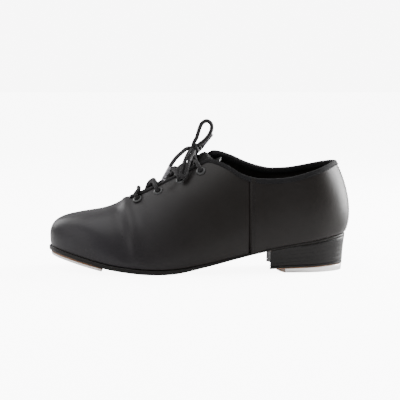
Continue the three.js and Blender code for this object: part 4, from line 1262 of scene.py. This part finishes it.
def half_lacing(side):
    other = -side
    one, two, three, four = eyelets[side, 1], eyelets[other, 2], eyelets[side, 3], eyelets[other, 4]
    odd, even = (HIGH_CROSS, LOW_CROSS) if side == LATERAL else (LOW_CROSS, HIGH_CROSS)
    inside = ridge_point((three[0].x + four[0].x) / 2, OVER_FOAM if side == LATERAL else IN_FOAM)
    rise = [over_edge(other, four[0].x - 4, 2.4), over_edge(other, four[0].x - 5.5, -1.6)]
    up_four = thread_down(four, rise[0], inside)[::-1]
    to_knot = rise + [Vector((KNOT.x + other, KNOT.y + other * 3.9, KNOT.z - 4.4)),
                      Vector((KNOT.x + other * 0.8, KNOT.y + other * 1.6, KNOT.z - 1.2))]
    to_two, to_three = crossing(side, one, two, odd), crossing(other, two, three, even)
    return (thread_down(one, eyelets[other, 1][0], middle_of(1)) + to_two
            + thread_down(two, to_two[3], middle_of(2)) + to_three
            + thread_down(three, to_three[3], inside)
            + [under_edge(side, three, four), inside, under_edge(other, four, three)] + up_four + to_knot)


first, second = eyelets[LATERAL, 1][0], eyelets[MEDIAL, 1][0]
bar = [skin_point(p_of(first.x), first.y + (second.y - first.y) * u, -GLUE - TAPE - LACE_DIAMETER / 2 - 0.6)
       for u in (0.25, 0.5, 0.75)]
route = smooth_path(half_lacing(LATERAL)[::-1] + bar + half_lacing(MEDIAL), 640)
laced = tube("braided_lace_laced", route, CORD_RADIUS, sides=14)
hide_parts("lace_laced")
laces.append(laced)
print("laced part:", round(path_length(route)), "mm of lace")

# %% [markdown]
# ## Knot
# The bow's knot is two tight turns of the same lace, with one turn drawn across their middle.

# %% Knot
KNOT_TURN = 1.95
knot_path = []
for i in range(61):
    u = i / 60
    knot_path.append(Vector((KNOT.x + 2 * KNOT_TURN * (2 * u - 1),
                             KNOT.y + KNOT_TURN * math.cos(4 * math.pi * u),
                             KNOT.z + KNOT_TURN * math.sin(4 * math.pi * u) + u - 0.5)))
knot = tube("braided_lace_knot", knot_path, CORD_RADIUS)
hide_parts("lace_knot")
laces.append(knot)
print("knot:", round(path_length(knot_path)), "mm of lace")

# %% [markdown]
# ## Stitches
# A stitch row follows a path that a machine ran. The tree turns a path into a curve, marks it off
# at the stitch pitch, and lays a short thread at each mark, leaning a little as lockstitch does.

# %% Stitch tree
def stitch_rows_tree():
    tree, given, group_out = new_tree("Stitch rows", [
        ("Pitch", "NodeSocketFloat", 0.0026), ("Thread Length", "NodeSocketFloat", 0.0021),
        ("Thread Width", "NodeSocketFloat", 0.0006), ("Lean", "NodeSocketFloat", 0.12),
        ("Thread", "NodeSocketMaterial", None), ("Seed", "NodeSocketInt", 7)])
    path = node(tree, "GeometryNodeMeshToCurve", Mesh=given.outputs["Geometry"]).outputs[0]
    marks = node(tree, "GeometryNodeResampleCurve", {"mode": "LENGTH"}, Curve=path,
                 Length=given.outputs["Pitch"]).outputs[0]
    bead = node(tree, "GeometryNodeMeshUVSphere", Segments=8, Rings=5, Radius=0.5).outputs[0]
    size = node(tree, "ShaderNodeCombineXYZ", X=given.outputs["Thread Length"],
                Y=given.outputs["Thread Width"],
                Z=given.outputs["Thread Width"]).outputs[0]
    thread = node(tree, "GeometryNodeTransform", Geometry=bead, Scale=size).outputs[0]
    thread = node(tree, "GeometryNodeSetShadeSmooth", Geometry=thread).outputs[0]
    stand = node(tree, "FunctionNodeAxesToRotation", {"primary_axis": "Z", "secondary_axis": "X"},
                 i0=direction(tree, "out"), i1=direction(tree, "along")).outputs[0]
    least = node(tree, "ShaderNodeMath", {"operation": "MULTIPLY"}, i0=given.outputs["Lean"],
                 i1=0.6).outputs[0]
    lean = node(tree, "FunctionNodeRandomValue", {"data_type": "FLOAT"}, i2=least, i3=given.outputs["Lean"],
                Seed=given.outputs["Seed"]).outputs[1]
    spin = node(tree, "ShaderNodeCombineXYZ", Z=lean).outputs[0]
    stand = node(tree, "FunctionNodeRotateRotation", {"rotation_space": "LOCAL"}, i0=stand,
                 i1=spin).outputs[0]
    laid = node(tree, "GeometryNodeInstanceOnPoints", Points=marks, Instance=thread,
                Rotation=stand).outputs[0]
    finish_tree(tree, group_out, laid, given.outputs["Thread"])
    return tree


def rows_mesh(name, rows_of_places):
    places, edges = [], []
    for row in rows_of_places:
        start = len(places)
        places += row
        edges += [(i, i + 1) for i in range(start, len(places) - 1)]
    return places_mesh(name, places, edges)


stitch_tree = stitch_rows_tree()
print("stitch tree with", len(stitch_tree.nodes), "nodes")

# %% Stitch paths on the upper
def quarter_face(side, s, t):
    return 0.12 + relief(side, s, t) + overlap_step(p_of_s(s)) + 0.02


tape_row = []
for side, s in tape_columns:
    top = top_edge(side, s)
    step = (last_point(side, s, top) - last_point(side, s, top - 0.02)).length / 0.02
    point, normal, up, along = wall_frame(side, s, top - 3.1 / step, -GLUE - TAPE - 0.1)
    tape_row.append((point, normal, along))
def seam_row(side, s):
    """A row up the wall, from just above the sole to just under the tape."""
    row = []
    for i in range(41):
        t = top_edge(side, s) * (0.03 + 0.86 * i / 40)
        point, normal, up, along = wall_frame(side, s, t, -quarter_face(side, s, t))
        row.append((point, normal, up))
    return row


BACK_SEAM_S = 0.985
seam_rows = [seam_row(side, s) for side in (LATERAL, MEDIAL)
             for s in (s_of_p(SEAM_AT + 0.0055), s_of_p(SEAM_AT + 0.0125), BACK_SEAM_S)]
TACK_AT, TACK_WIDTH = 0.246, 11
tack = []
for i in range(13):
    y = throat_y(TACK_AT) + TACK_WIDTH * (i / 12 - 0.5)
    ridge = ridge_y_at(TACK_AT)
    side, s = (LATERAL if y < ridge else MEDIAL), s_of_p(TACK_AT)
    t = find_t(lambda u: -abs(last_point(side, s, u).y - ridge), -abs(y - ridge))
    point, normal, up, along = wall_frame(side, s, min(t, 0.998), -relief(side, s, t) - 0.05)
    tack.append((point, normal, Vector((0, 1, 0))))
FINE_STITCH = {"Pitch": 0.0026, "Thread Width": 0.0006}
upper_thread = plain_material("upper_thread")
upper_stitches = grown("stitches_upper", stitch_tree, rows_mesh("upper rows", [tape_row, tack] + seam_rows),
                       {"Thread": upper_thread, "Thread Length": 0.0022, **FINE_STITCH})
print("upper stitches:", len(upper_stitches.data.polygons), "faces")

# %% Stitch paths on the tongue and the sole
tongue_row = []
for i in range(41):
    p, v = TONGUE_TO - 0.010, 0.1 + 0.8 * i / 40
    t = 1 - (1 - tongue_reach(p)) * abs(2 * v - 1)
    point, normal, up, along = wall_frame(LATERAL if v < 0.5 else MEDIAL, s_of_p(p), min(t, 0.998),
                                          TONGUE_FACE + 0.12 - tongue_puff(p, v))
    tongue_row.append((point, normal, up if v < 0.5 else -up))
tongue_stitches = grown("stitches_tongue", stitch_tree, rows_mesh("tongue row", [tongue_row]),
                        {"Thread": upper_thread, "Thread Length": 0.0021, "Seed": 9, **FINE_STITCH},
                        body="tongue")
sole_thread = plain_material("sole_thread")
STITCH_INSET, STITCH_SUNK = 4.2, 0.38
channels = []
for side in (LATERAL, MEDIAL):
    row = []
    for i in range(121):
        s = s_of_p(0.2) + (s_of_p(0.7) - s_of_p(0.2)) * i / 120
        place = plan_edge(side, s, STITCH_INSET - ledge_at(p_of_s(s)))
        row.append(Vector((place.x, place.y, sole_bottom(place.x) + STITCH_SUNK)))
    channels.append([(point, Vector((0, 0, -1)), (row[min(i + 1, 120)] - row[max(i - 1, 0)]).normalized())
                     for i, point in enumerate(row)])
sole_stitches = grown("stitches_sole", stitch_tree, rows_mesh("sole rows", channels),
                      {"Thread": sole_thread, "Pitch": 0.0042, "Thread Length": 0.0034,
                       "Thread Width": 0.0010, "Seed": 4})
print("tongue and sole stitches:", len(tongue_stitches.data.polygons), len(sole_stitches.data.polygons))

# %% [markdown]
# ## Sums with sockets
# A material is a set of numbers that change over a surface. `Value` wraps a socket so that those
# numbers are added and multiplied in plain Python, and `Finish` starts a material and makes every
# other node by one method.

# %% Material helpers
class Value:
    """A number that changes over a surface, usable in sums."""

    def __init__(self, finish, socket):
        self.finish, self.socket = finish, socket

    def math(self, operation, *others):
        inputs = {f"i{i}": v.socket if isinstance(v, Value) else v for i, v in enumerate(others)}
        made = self.finish.node("ShaderNodeMath", {"operation": operation}, **inputs)
        return Value(self.finish, made.outputs[0])

    def __add__(self, other):
        return self.math("ADD", self, other)

    def __radd__(self, other):
        return self.math("ADD", other, self)

    def __sub__(self, other):
        return self.math("SUBTRACT", self, other)

    def __rsub__(self, other):
        return self.math("SUBTRACT", other, self)

    def __mul__(self, other):
        return self.math("MULTIPLY", self, other)

    def __rmul__(self, other):
        return self.math("MULTIPLY", other, self)

    def sine(self):
        return self.math("SINE", self)

    def between(self, low, high):
        """0 below low and 1 above high, smooth between them."""
        made = self.finish.node("ShaderNodeMapRange", {"interpolation_type": "SMOOTHSTEP"}, Value=self.socket,
                                From_Min=low, From_Max=high)
        return Value(self.finish, made.outputs[0])


class Finish:
    """A material with one Principled shader."""

    def __init__(self, name, **constants):
        self.material = bpy.data.materials.get(name) or bpy.data.materials.new(name)
        self.material.use_nodes = True
        self.tree = self.material.node_tree
        self.tree.nodes.clear()
        self.shader = self.node("ShaderNodeBsdfPrincipled")
        self.node("ShaderNodeOutputMaterial", Surface=self.shader.outputs[0])
        self.place = self.node("ShaderNodeTexCoord").outputs["Object"]
        self.set(**constants)

    def node(self, kind, settings=None, **sockets):
        return node(self.tree, kind, settings, **sockets)

    def set(self, **sockets):
        for label, value in sockets.items():
            socket = self.shader.inputs[label.replace("_", " ")]
            if isinstance(value, Value):
                value = value.socket
            if isinstance(value, bpy.types.NodeSocket):
                self.tree.links.new(value, socket)
            else:
                socket.default_value = value

    def stretched(self, x, y, z, turn=(0, 0, 0)):
        return self.node("ShaderNodeMapping", Vector=self.place, Scale=(x, y, z), Rotation=turn).outputs[0]

    def noise(self, scale, detail=2.0, rough=0.5, place=None):
        made = self.node("ShaderNodeTexNoise", Vector=place or self.place, Scale=scale, Detail=detail,
                         Roughness=rough)
        return Value(self, made.outputs[0])

    def cells(self, scale):
        made = self.node("ShaderNodeTexVoronoi", {"feature": "DISTANCE_TO_EDGE"}, Vector=self.place,
                         Scale=scale)
        return Value(self, made.outputs["Distance"])

    def axis(self, letter, vector=None):
        made = self.node("ShaderNodeSeparateXYZ", Vector=vector or self.place)
        return Value(self, made.outputs[letter])

    def mix(self, share, first, second):
        share = share.socket if isinstance(share, Value) else share
        made = self.node("ShaderNodeMix", {"data_type": "RGBA"}, i0=share, i6=self.colour(first),
                         i7=self.colour(second))
        return made.outputs[2]

    def colour(self, value):
        return value if isinstance(value, bpy.types.NodeSocket) else (*value, 1.0)

    def bump(self, height, distance, strength=1.0, before=None):
        sockets = {"Height": height.socket, "Distance": distance, "Strength": strength}
        if before is not None:
            sockets["Normal"] = before
        return self.node("ShaderNodeBump", **sockets).outputs[0]

    def on(self, *pieces):
        for piece in pieces:
            if len(piece.data.materials):
                for slot in piece.material_slots:
                    slot.material = self.material
            else:
                piece.data.materials.append(self.material)
        return self.material


print("material helpers ready")

# %% [markdown]
# ## Leather
# Smooth shoe leather is dark and satin. It has a fine grain that only shows close up, a wax finish
# that is a little uneven, and a cooler bloom where the toe is polished. Towards the toe the base
# colour is also painted lighter: a painted highlight for the light that falls on the toe.

# %% Leather finishes
def leather_finish(name, toe_tint_and_highlight, warm, rough, coat):
    finish = Finish(name, Coat_Roughness=0.34, Specular_IOR_Level=0.16)
    # towards the toe the base colour turns cooler and lighter: a polish tint and a painted highlight
    along = finish.axis("X").between(0.02, -0.11)
    tone = finish.mix(along, warm, toe_tint_and_highlight)
    clouds = finish.noise(38, 3)
    tone = finish.mix(clouds.between(0.35, 0.75) * 0.3, tone, (0.010, 0.0085, 0.0080))
    grain = finish.cells(1500)
    pores = finish.noise(900, 2)
    creases = finish.noise(190, 4, 0.6, finish.stretched(1.6, 1, 0.55))
    finish.set(Base_Color=tone, Roughness=rough + (clouds - 0.5) * 0.12 + (pores - 0.5) * 0.08,
               Coat_Weight=coat + along * 0.16 + (finish.noise(22, 2) - 0.5) * 0.05)
    folds = finish.bump(creases, 0.00012, 0.5)
    finish.set(Normal=finish.bump(grain * 0.6 + pores * 0.4, 0.00005, 0.6, before=folds))
    return finish


# the first tone is the toe's: a cooler polish tint, painted lighter as a highlight
upper_leather = leather_finish("black_satin_leather", (0.0105, 0.0088, 0.0112), (0.0066, 0.0050, 0.0042),
                               0.42, 0.07)
upper_leather.on(vamp, *quarters)
tongue_leather = leather_finish("black_tongue_leather", (0.006, 0.0055, 0.006), (0.004, 0.0036, 0.0034), 0.48,
                                0.03)
tongue_leather.on(tongue)
print("leather on", vamp.name, tongue.name)

# %% [markdown]
# ## Cloth and thread
# Lining and tape are woven. Two crossed sets of waves give warp and weft; the tape's ribs are
# coarser. Threads get a twist. Weave and twist also set the colour: crests are painted lighter and
# hollows darker, as painted light and shade, mixed with random unevenness.

# %% Cloth finishes
def weave(finish, pitch):
    """Warp and weft as a height from 0 to 1."""
    warp, weft = [(finish.axis(letter) * (2 * math.pi / pitch)).sine() for letter in "XZ"]
    return warp * weft * 0.5 + 0.5


def cloth_finish(name, deep, lit, pitch, rough, sheen, depth):
    finish = Finish(name, Sheen_Weight=sheen, Sheen_Roughness=0.4, Specular_IOR_Level=0.2)
    threads = weave(finish, pitch)
    uneven = finish.noise(160, 3)
    # weave crests painted lighter and hollows darker (painted light and shade), plus random unevenness
    finish.set(Base_Color=finish.mix(threads * 0.6 + uneven * 0.4, deep, lit),
               Roughness=rough + (uneven - 0.5) * 0.12,
               Normal=finish.bump(threads * 0.7 + uneven * 0.3, depth, 0.8))
    return finish


lining_cloth = cloth_finish("black_lining_cloth", (0.0030, 0.0025, 0.0021), (0.0085, 0.0066, 0.0052), 0.0009,
                            0.38, 0.04, 0.00006)
lining_cloth.on(*linings)
sock_cloth = cloth_finish("black_sock_cloth", (0.005, 0.0046, 0.0044), (0.011, 0.010, 0.0095), 0.0011, 0.7,
                          0.08, 0.00008)
sock_cloth.on(sock)
tape_cloth = cloth_finish("black_cotton_tape", (0.0025, 0.0025, 0.0028), (0.0085, 0.0080, 0.0088), 0.0012,
                          0.86, 0.06, 0.00012)
tape_cloth.on(binding)
for label, deep, lit, rough in (("upper_thread", (0.003, 0.003, 0.0034), (0.010, 0.0095, 0.0105), 0.6),
                                ("sole_thread", (0.30, 0.22, 0.13), (0.52, 0.42, 0.28), 0.75)):
    thread = Finish(label, Specular_IOR_Level=0.2)
    along = thread.axis("X") + thread.axis("Y") * 0.6 + thread.axis("Z")
    twist = (along * (2 * math.pi / 0.0005)).sine() * 0.5 + 0.5
    # twist crests painted lighter and hollows darker (painted light and shade), plus random noise
    thread.set(Base_Color=thread.mix(twist * 0.7 + thread.noise(500) * 0.3, deep, lit),
               Roughness=rough + (twist - 0.5) * 0.1,
               Normal=thread.bump(twist, 0.00005, 0.7))
print("cloth and thread ready")

# %% [markdown]
# ## Braided lace
# The lace's UV map gives the angle round it and the millimetres along it. Two families of spirals
# cross on it, one over the other in turn, which is what a braiding machine does. The colour follows
# their height: hollows are painted darker and crests lighter, as painted shade and light.

# %% Lace finish
def lace_finish():
    finish = Finish("black_braided_cord", Sheen_Weight=0.06, Sheen_Roughness=0.5, Specular_IOR_Level=0.2)
    flat = finish.node("ShaderNodeUVMap", {"uv_map": "UVMap"}).outputs[0]
    around, length = finish.axis("X", flat), finish.axis("Y", flat)
    right = ((around * 4 + length * 0.30) * (2 * math.pi)).sine()
    left = ((around * 4 - length * 0.30) * (2 * math.pi)).sine()
    braid = right * left * 0.5 + 0.5
    strands = ((around * 28 + length * 2.1) * (2 * math.pi)).sine() * 0.5 + 0.5
    fuzz = finish.noise(700, 3)
    # painted shade in the braid's hollows and painted light on its crests, with random fuzz mixed in
    tone = finish.mix(braid * 0.75 + fuzz * 0.25, (0.0022, 0.0020, 0.0024), (0.016, 0.0145, 0.0155))
    finish.set(Base_Color=tone, Roughness=0.62 + (fuzz - 0.5) * 0.2,
               Normal=finish.bump(braid * 0.8 + strands * 0.14 + fuzz * 0.06, 0.0005, 0.9))
    return finish


lace_cord = lace_finish()
lace_cord.on(*laces)
aglet_plastic = Finish("clear_aglet_plastic", IOR=1.46, Transmission_Weight=0.7, Specular_IOR_Level=0.6)
haze = aglet_plastic.noise(260, 2)
aglet_plastic.set(Base_Color=aglet_plastic.mix(haze, (0.50, 0.48, 0.52), (0.62, 0.60, 0.64)),
                  Roughness=0.10 + haze * 0.14,
                  Normal=aglet_plastic.bump(haze, 0.00006, 0.4))
aglet_plastic.on(*aglets)
print("lace finish on", len(laces), "pieces")

# %% [markdown]
# ## Sole and heel
# The sole's edge is inked black and waxed. Its underside stays natural, and the thin bevel where
# the two meet shows a line of tan leather. So the sole has two finishes, chosen by its faces.

# %% Sole finishes
def edge_finish():
    finish = Finish("inked_waxed_edge", Coat_Roughness=0.3, Specular_IOR_Level=0.14)
    layers = finish.noise(420, 3, 0.6, finish.stretched(0.12, 0.12, 1))
    scuffs = finish.noise(120, 4).between(0.62, 0.78)
    finish.set(Base_Color=finish.mix(scuffs * 0.35 + layers * 0.2, (0.0042, 0.0036, 0.0034),
                                     (0.013, 0.0105, 0.009)),
               Roughness=0.38 + scuffs * 0.2 + (layers - 0.5) * 0.14, Coat_Weight=0.08 - scuffs * 0.06,
               Normal=finish.bump(layers, 0.00008, 0.7))
    return finish


def tan_finish(name, light, deep, wear):
    finish = Finish(name, Specular_IOR_Level=0.3)
    fibres = finish.noise(260, 5, 0.65, finish.stretched(0.35, 1, 1))
    stains = finish.noise(26, 3).between(0.45, 0.8)
    marks = finish.noise(300, 2, 0.5, finish.stretched(0.08, 1.6, 1)).between(0.66, 0.74) * wear
    tone = finish.mix(fibres * 0.55 + stains * 0.45, light, deep)
    finish.set(Base_Color=finish.mix(marks, tone, (0.09, 0.055, 0.03)),
               Roughness=0.66 + (fibres - 0.5) * 0.16,
               Normal=finish.bump(fibres, 0.0001, 0.6))
    return finish


inked_edge = edge_finish()
natural_sole = tan_finish("natural_sole_leather", (0.46, 0.235, 0.105), (0.29, 0.135, 0.055), 0.5)
tan_lift = tan_finish("tan_lift_leather", (0.42, 0.20, 0.085), (0.26, 0.115, 0.045), 0.2)
fibre_board = tan_finish("tap_fibre_board", (0.24, 0.125, 0.06), (0.13, 0.065, 0.03), 0.0)


def tan_below(piece, tan, start, end_x):
    """The faces that look down get a second finish, as far as the heel, where all is inked."""
    piece.data.materials.append(tan.material)
    for face in piece.data.polygons:
        if face.normal.z < start and face.center.x < end_x:
            face.material_index = 1


for piece in (outsole, heel_block):
    inked_edge.on(piece)
tan_below(outsole, natural_sole, -0.62, (BREAST_X + 1) * MM)
inked_edge.on(top_lift)
tan_below(top_lift, tan_lift, -0.5, 1)
fibre_board.on(soundboard)
print("sole faces left tan:", sum(face.material_index for face in outsole.data.polygons))

# %% [markdown]
# ## Metal
# The taps are tumbled aluminium: bright, satin, with fine marks. The sounding face is scratched
# by the floor, mostly along the shoe. The screws are plain steel and the eyelets black enamel.

# %% Metal finishes
def metal_finish(name, low, high, rough, marks_share):
    finish = Finish(name, Metallic=1.0)
    cast = finish.noise(340, 3)
    scratches = finish.noise(420, 2, 0.5, finish.stretched(0.05, 1.4, 1.0, (0, 0, 0.35))).between(0.62, 0.70)
    finish.set(Base_Color=finish.mix(cast, low, high),
               Roughness=rough + (cast - 0.5) * 0.14 + scratches * 0.12 * marks_share,
               Normal=finish.bump(cast * 0.7 - scratches * 0.5 * marks_share, 0.00006, 0.5))
    return finish


aluminium = metal_finish("tumbled_aluminium", (0.66, 0.65, 0.64), (0.78, 0.77, 0.76), 0.34, 1.0)
aluminium.on(toe_tap, heel_tap)
metal_finish("screw_steel", (0.50, 0.50, 0.51), (0.66, 0.66, 0.67), 0.28, 0.4)
enamel = Finish("eyelet_enamel", Coat_Roughness=0.12, Specular_IOR_Level=0.35, Coat_Weight=0.25)
chips = enamel.noise(900, 3).between(0.66, 0.74)
enamel.set(Base_Color=enamel.mix(chips, (0.010, 0.010, 0.011), (0.16, 0.15, 0.14)), Metallic=chips * 0.8,
           Roughness=0.32 + enamel.noise(300) * 0.12 + chips * 0.15,
           Normal=enamel.bump(chips * -1, 0.00004, 0.6))
print("metals ready")

# %% [markdown]
# ## The pieces inside
# The stiffeners, the board, the filler, the shank and the heel nails keep their CAD shape. They
# show only in a section or through the top, but they get their own finishes too.

# %% Hidden pieces
def board_finish(name, light, deep):
    finish = Finish(name, Specular_IOR_Level=0.3)
    fleck = finish.noise(520, 4, 0.7)
    felt = finish.noise(60, 2)
    finish.set(Base_Color=finish.mix(fleck * 0.6 + felt * 0.4, light, deep),
               Roughness=0.82 + (fleck - 0.5) * 0.14,
               Normal=finish.bump(fleck, 0.00008, 0.6))
    return finish


stiffener_board = board_finish("stiffener_fibre", (0.52, 0.43, 0.30), (0.36, 0.28, 0.18))
insole_board = board_finish("insole_fibre", (0.50, 0.38, 0.24), (0.34, 0.25, 0.14))
cork = board_finish("cork_filler", (0.38, 0.20, 0.09), (0.22, 0.10, 0.04))
shank_steel = metal_finish("shank_steel", (0.44, 0.45, 0.48), (0.56, 0.57, 0.60), 0.38, 0.6)
for names, finish in ((("toe_puff", "heel_counter"), stiffener_board), (("insole_board",), insole_board),
                      (("bottom_filler",), cork), (("shank", *[f"heel_nail_{i}" for i in (1, 2, 3, 4)]),
                                                   shank_steel)):
    for name in names:
        finish.on(nodes[name])
print("hidden pieces finished")

# %% [markdown]
# ## Where each finish belongs
# The pieces are listed by the slot of their finish; the loop over the list does nothing with them.

# %% Slots
for slot, pieces in (("black_leather", [vamp, *quarters]), ("tongue_leather", [tongue, tongue_stitches]),
                     ("black_lining", [*linings, sock]), ("binding_tape", [binding, upper_stitches]),
                     ("sole_leather", [outsole]), ("heel_edge", [heel_block]),
                     ("tan_leather", [top_lift, sole_stitches]),
                     ("fibre_board", [soundboard]), ("tap_aluminium", [toe_tap, heel_tap]),
                     ("plain_steel", [tap_screws]),
                     ("black_enamel", [eyelet_set]), ("lace_cord", laces), ("aglet_plastic", aglets)):
    for piece in pieces:
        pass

# %% [markdown]
# ## Floor and light
# A pale floor and a big soft light overhead give the satin leather its slow highlights. Two more
# soft lights stand behind the shoe: one draws the bright line along the toe and one the heel. A
# fourth, low in front, fills the side of the toe.

# %% Stage
def area_light(name, place, target, size, power):
    data = bpy.data.lights.new(name, "AREA")
    data.shape = "RECTANGLE"
    data.size, data.size_y = size
    data.energy = power
    lamp = bpy.data.objects.new(name, data)
    lamp.location = place
    lamp.rotation_euler = (Vector(target) - Vector(place)).to_track_quat("-Z", "Y").to_euler()
    bpy.context.collection.objects.link(lamp)


FLOOR_HALF, FLOOR_DROP = 8000, 0.4
corners = [(x * FLOOR_HALF, y * FLOOR_HALF, -FLOOR_DROP) for x, y in ((-1, -1), (1, -1), (1, 1), (-1, 1))]
floor = linked("pale_floor", new_mesh("pale_floor", corners, [(0, 1, 2, 3)]))
OVERHEAD_POWER, TOE_RIM_POWER, HEEL_RIM_POWER, TOE_FRONT_POWER = 9, 10, 74, 9
SEEN_WHITE = 8.0
area_light("overhead softbox", (-0.35, -0.15, 1.2), (-0.05, 0, 0.05), (1.2, 0.9), OVERHEAD_POWER)
area_light("toe rim softbox", (-1.1, 0.9, 0.75), (-0.1, 0, 0.05), (0.7, 0.9), TOE_RIM_POWER)
area_light("toe front softbox", (-1.5, -0.7, 0.65), (-0.11, 0, 0.04), (1.5, 1.2), TOE_FRONT_POWER)
area_light("heel rim softbox", (1.2, 0.42, 0.4), (0.12, 0, 0.06), (0.9, 0.8), HEEL_RIM_POWER)
world = bpy.data.worlds.new("White studio")
bpy.context.scene.world = world
world.use_nodes = True
world.node_tree.nodes.clear()
studio = world.node_tree
height = node(studio, "ShaderNodeSeparateXYZ",
              Vector=node(studio, "ShaderNodeTexCoord").outputs["Generated"]).outputs["Z"]
rise = node(studio, "ShaderNodeMapRange", Value=height, From_Min=-0.1, From_Max=0.9, To_Min=0.35,
            To_Max=1.0).outputs[0]
soft = node(studio, "ShaderNodeBackground", Color=(1, 1, 1, 1), Strength=rise)
white = node(studio, "ShaderNodeBackground", Color=(1, 1, 1, 1), Strength=SEEN_WHITE)
seen = node(studio, "ShaderNodeLightPath").outputs["Is Camera Ray"]
both = node(studio, "ShaderNodeMixShader", i0=seen, i1=soft.outputs[0], i2=white.outputs[0])
node(studio, "ShaderNodeOutputWorld", Surface=both.outputs[0])
# the floor is lit white, as a shop lights its table from below; it adds no light to the shoe
paper = Finish("pale_floor", Base_Color=(0.92, 0.92, 0.92, 1), Specular_IOR_Level=0.1)
paper.set(Roughness=0.85 + paper.noise(3) * 0.1)
lit = paper.node("ShaderNodeEmission", Color=(1, 1, 1, 1), Strength=SEEN_WHITE)
both = paper.node("ShaderNodeAddShader", i0=paper.shader.outputs[0], i1=lit.outputs[0])
choose = paper.node("ShaderNodeMixShader", i0=paper.node("ShaderNodeLightPath").outputs["Is Camera Ray"],
                    i1=paper.shader.outputs[0], i2=both.outputs[0])
end = next(n for n in paper.tree.nodes if n.type == "OUTPUT_MATERIAL")
paper.tree.links.new(choose.outputs[0], end.inputs[0])
paper.on(floor)
print("stage set")

# %% [markdown]
# ## The end
# The visual model must keep the CAD model's size.

# %% Finish
bpy.context.view_layer.update()
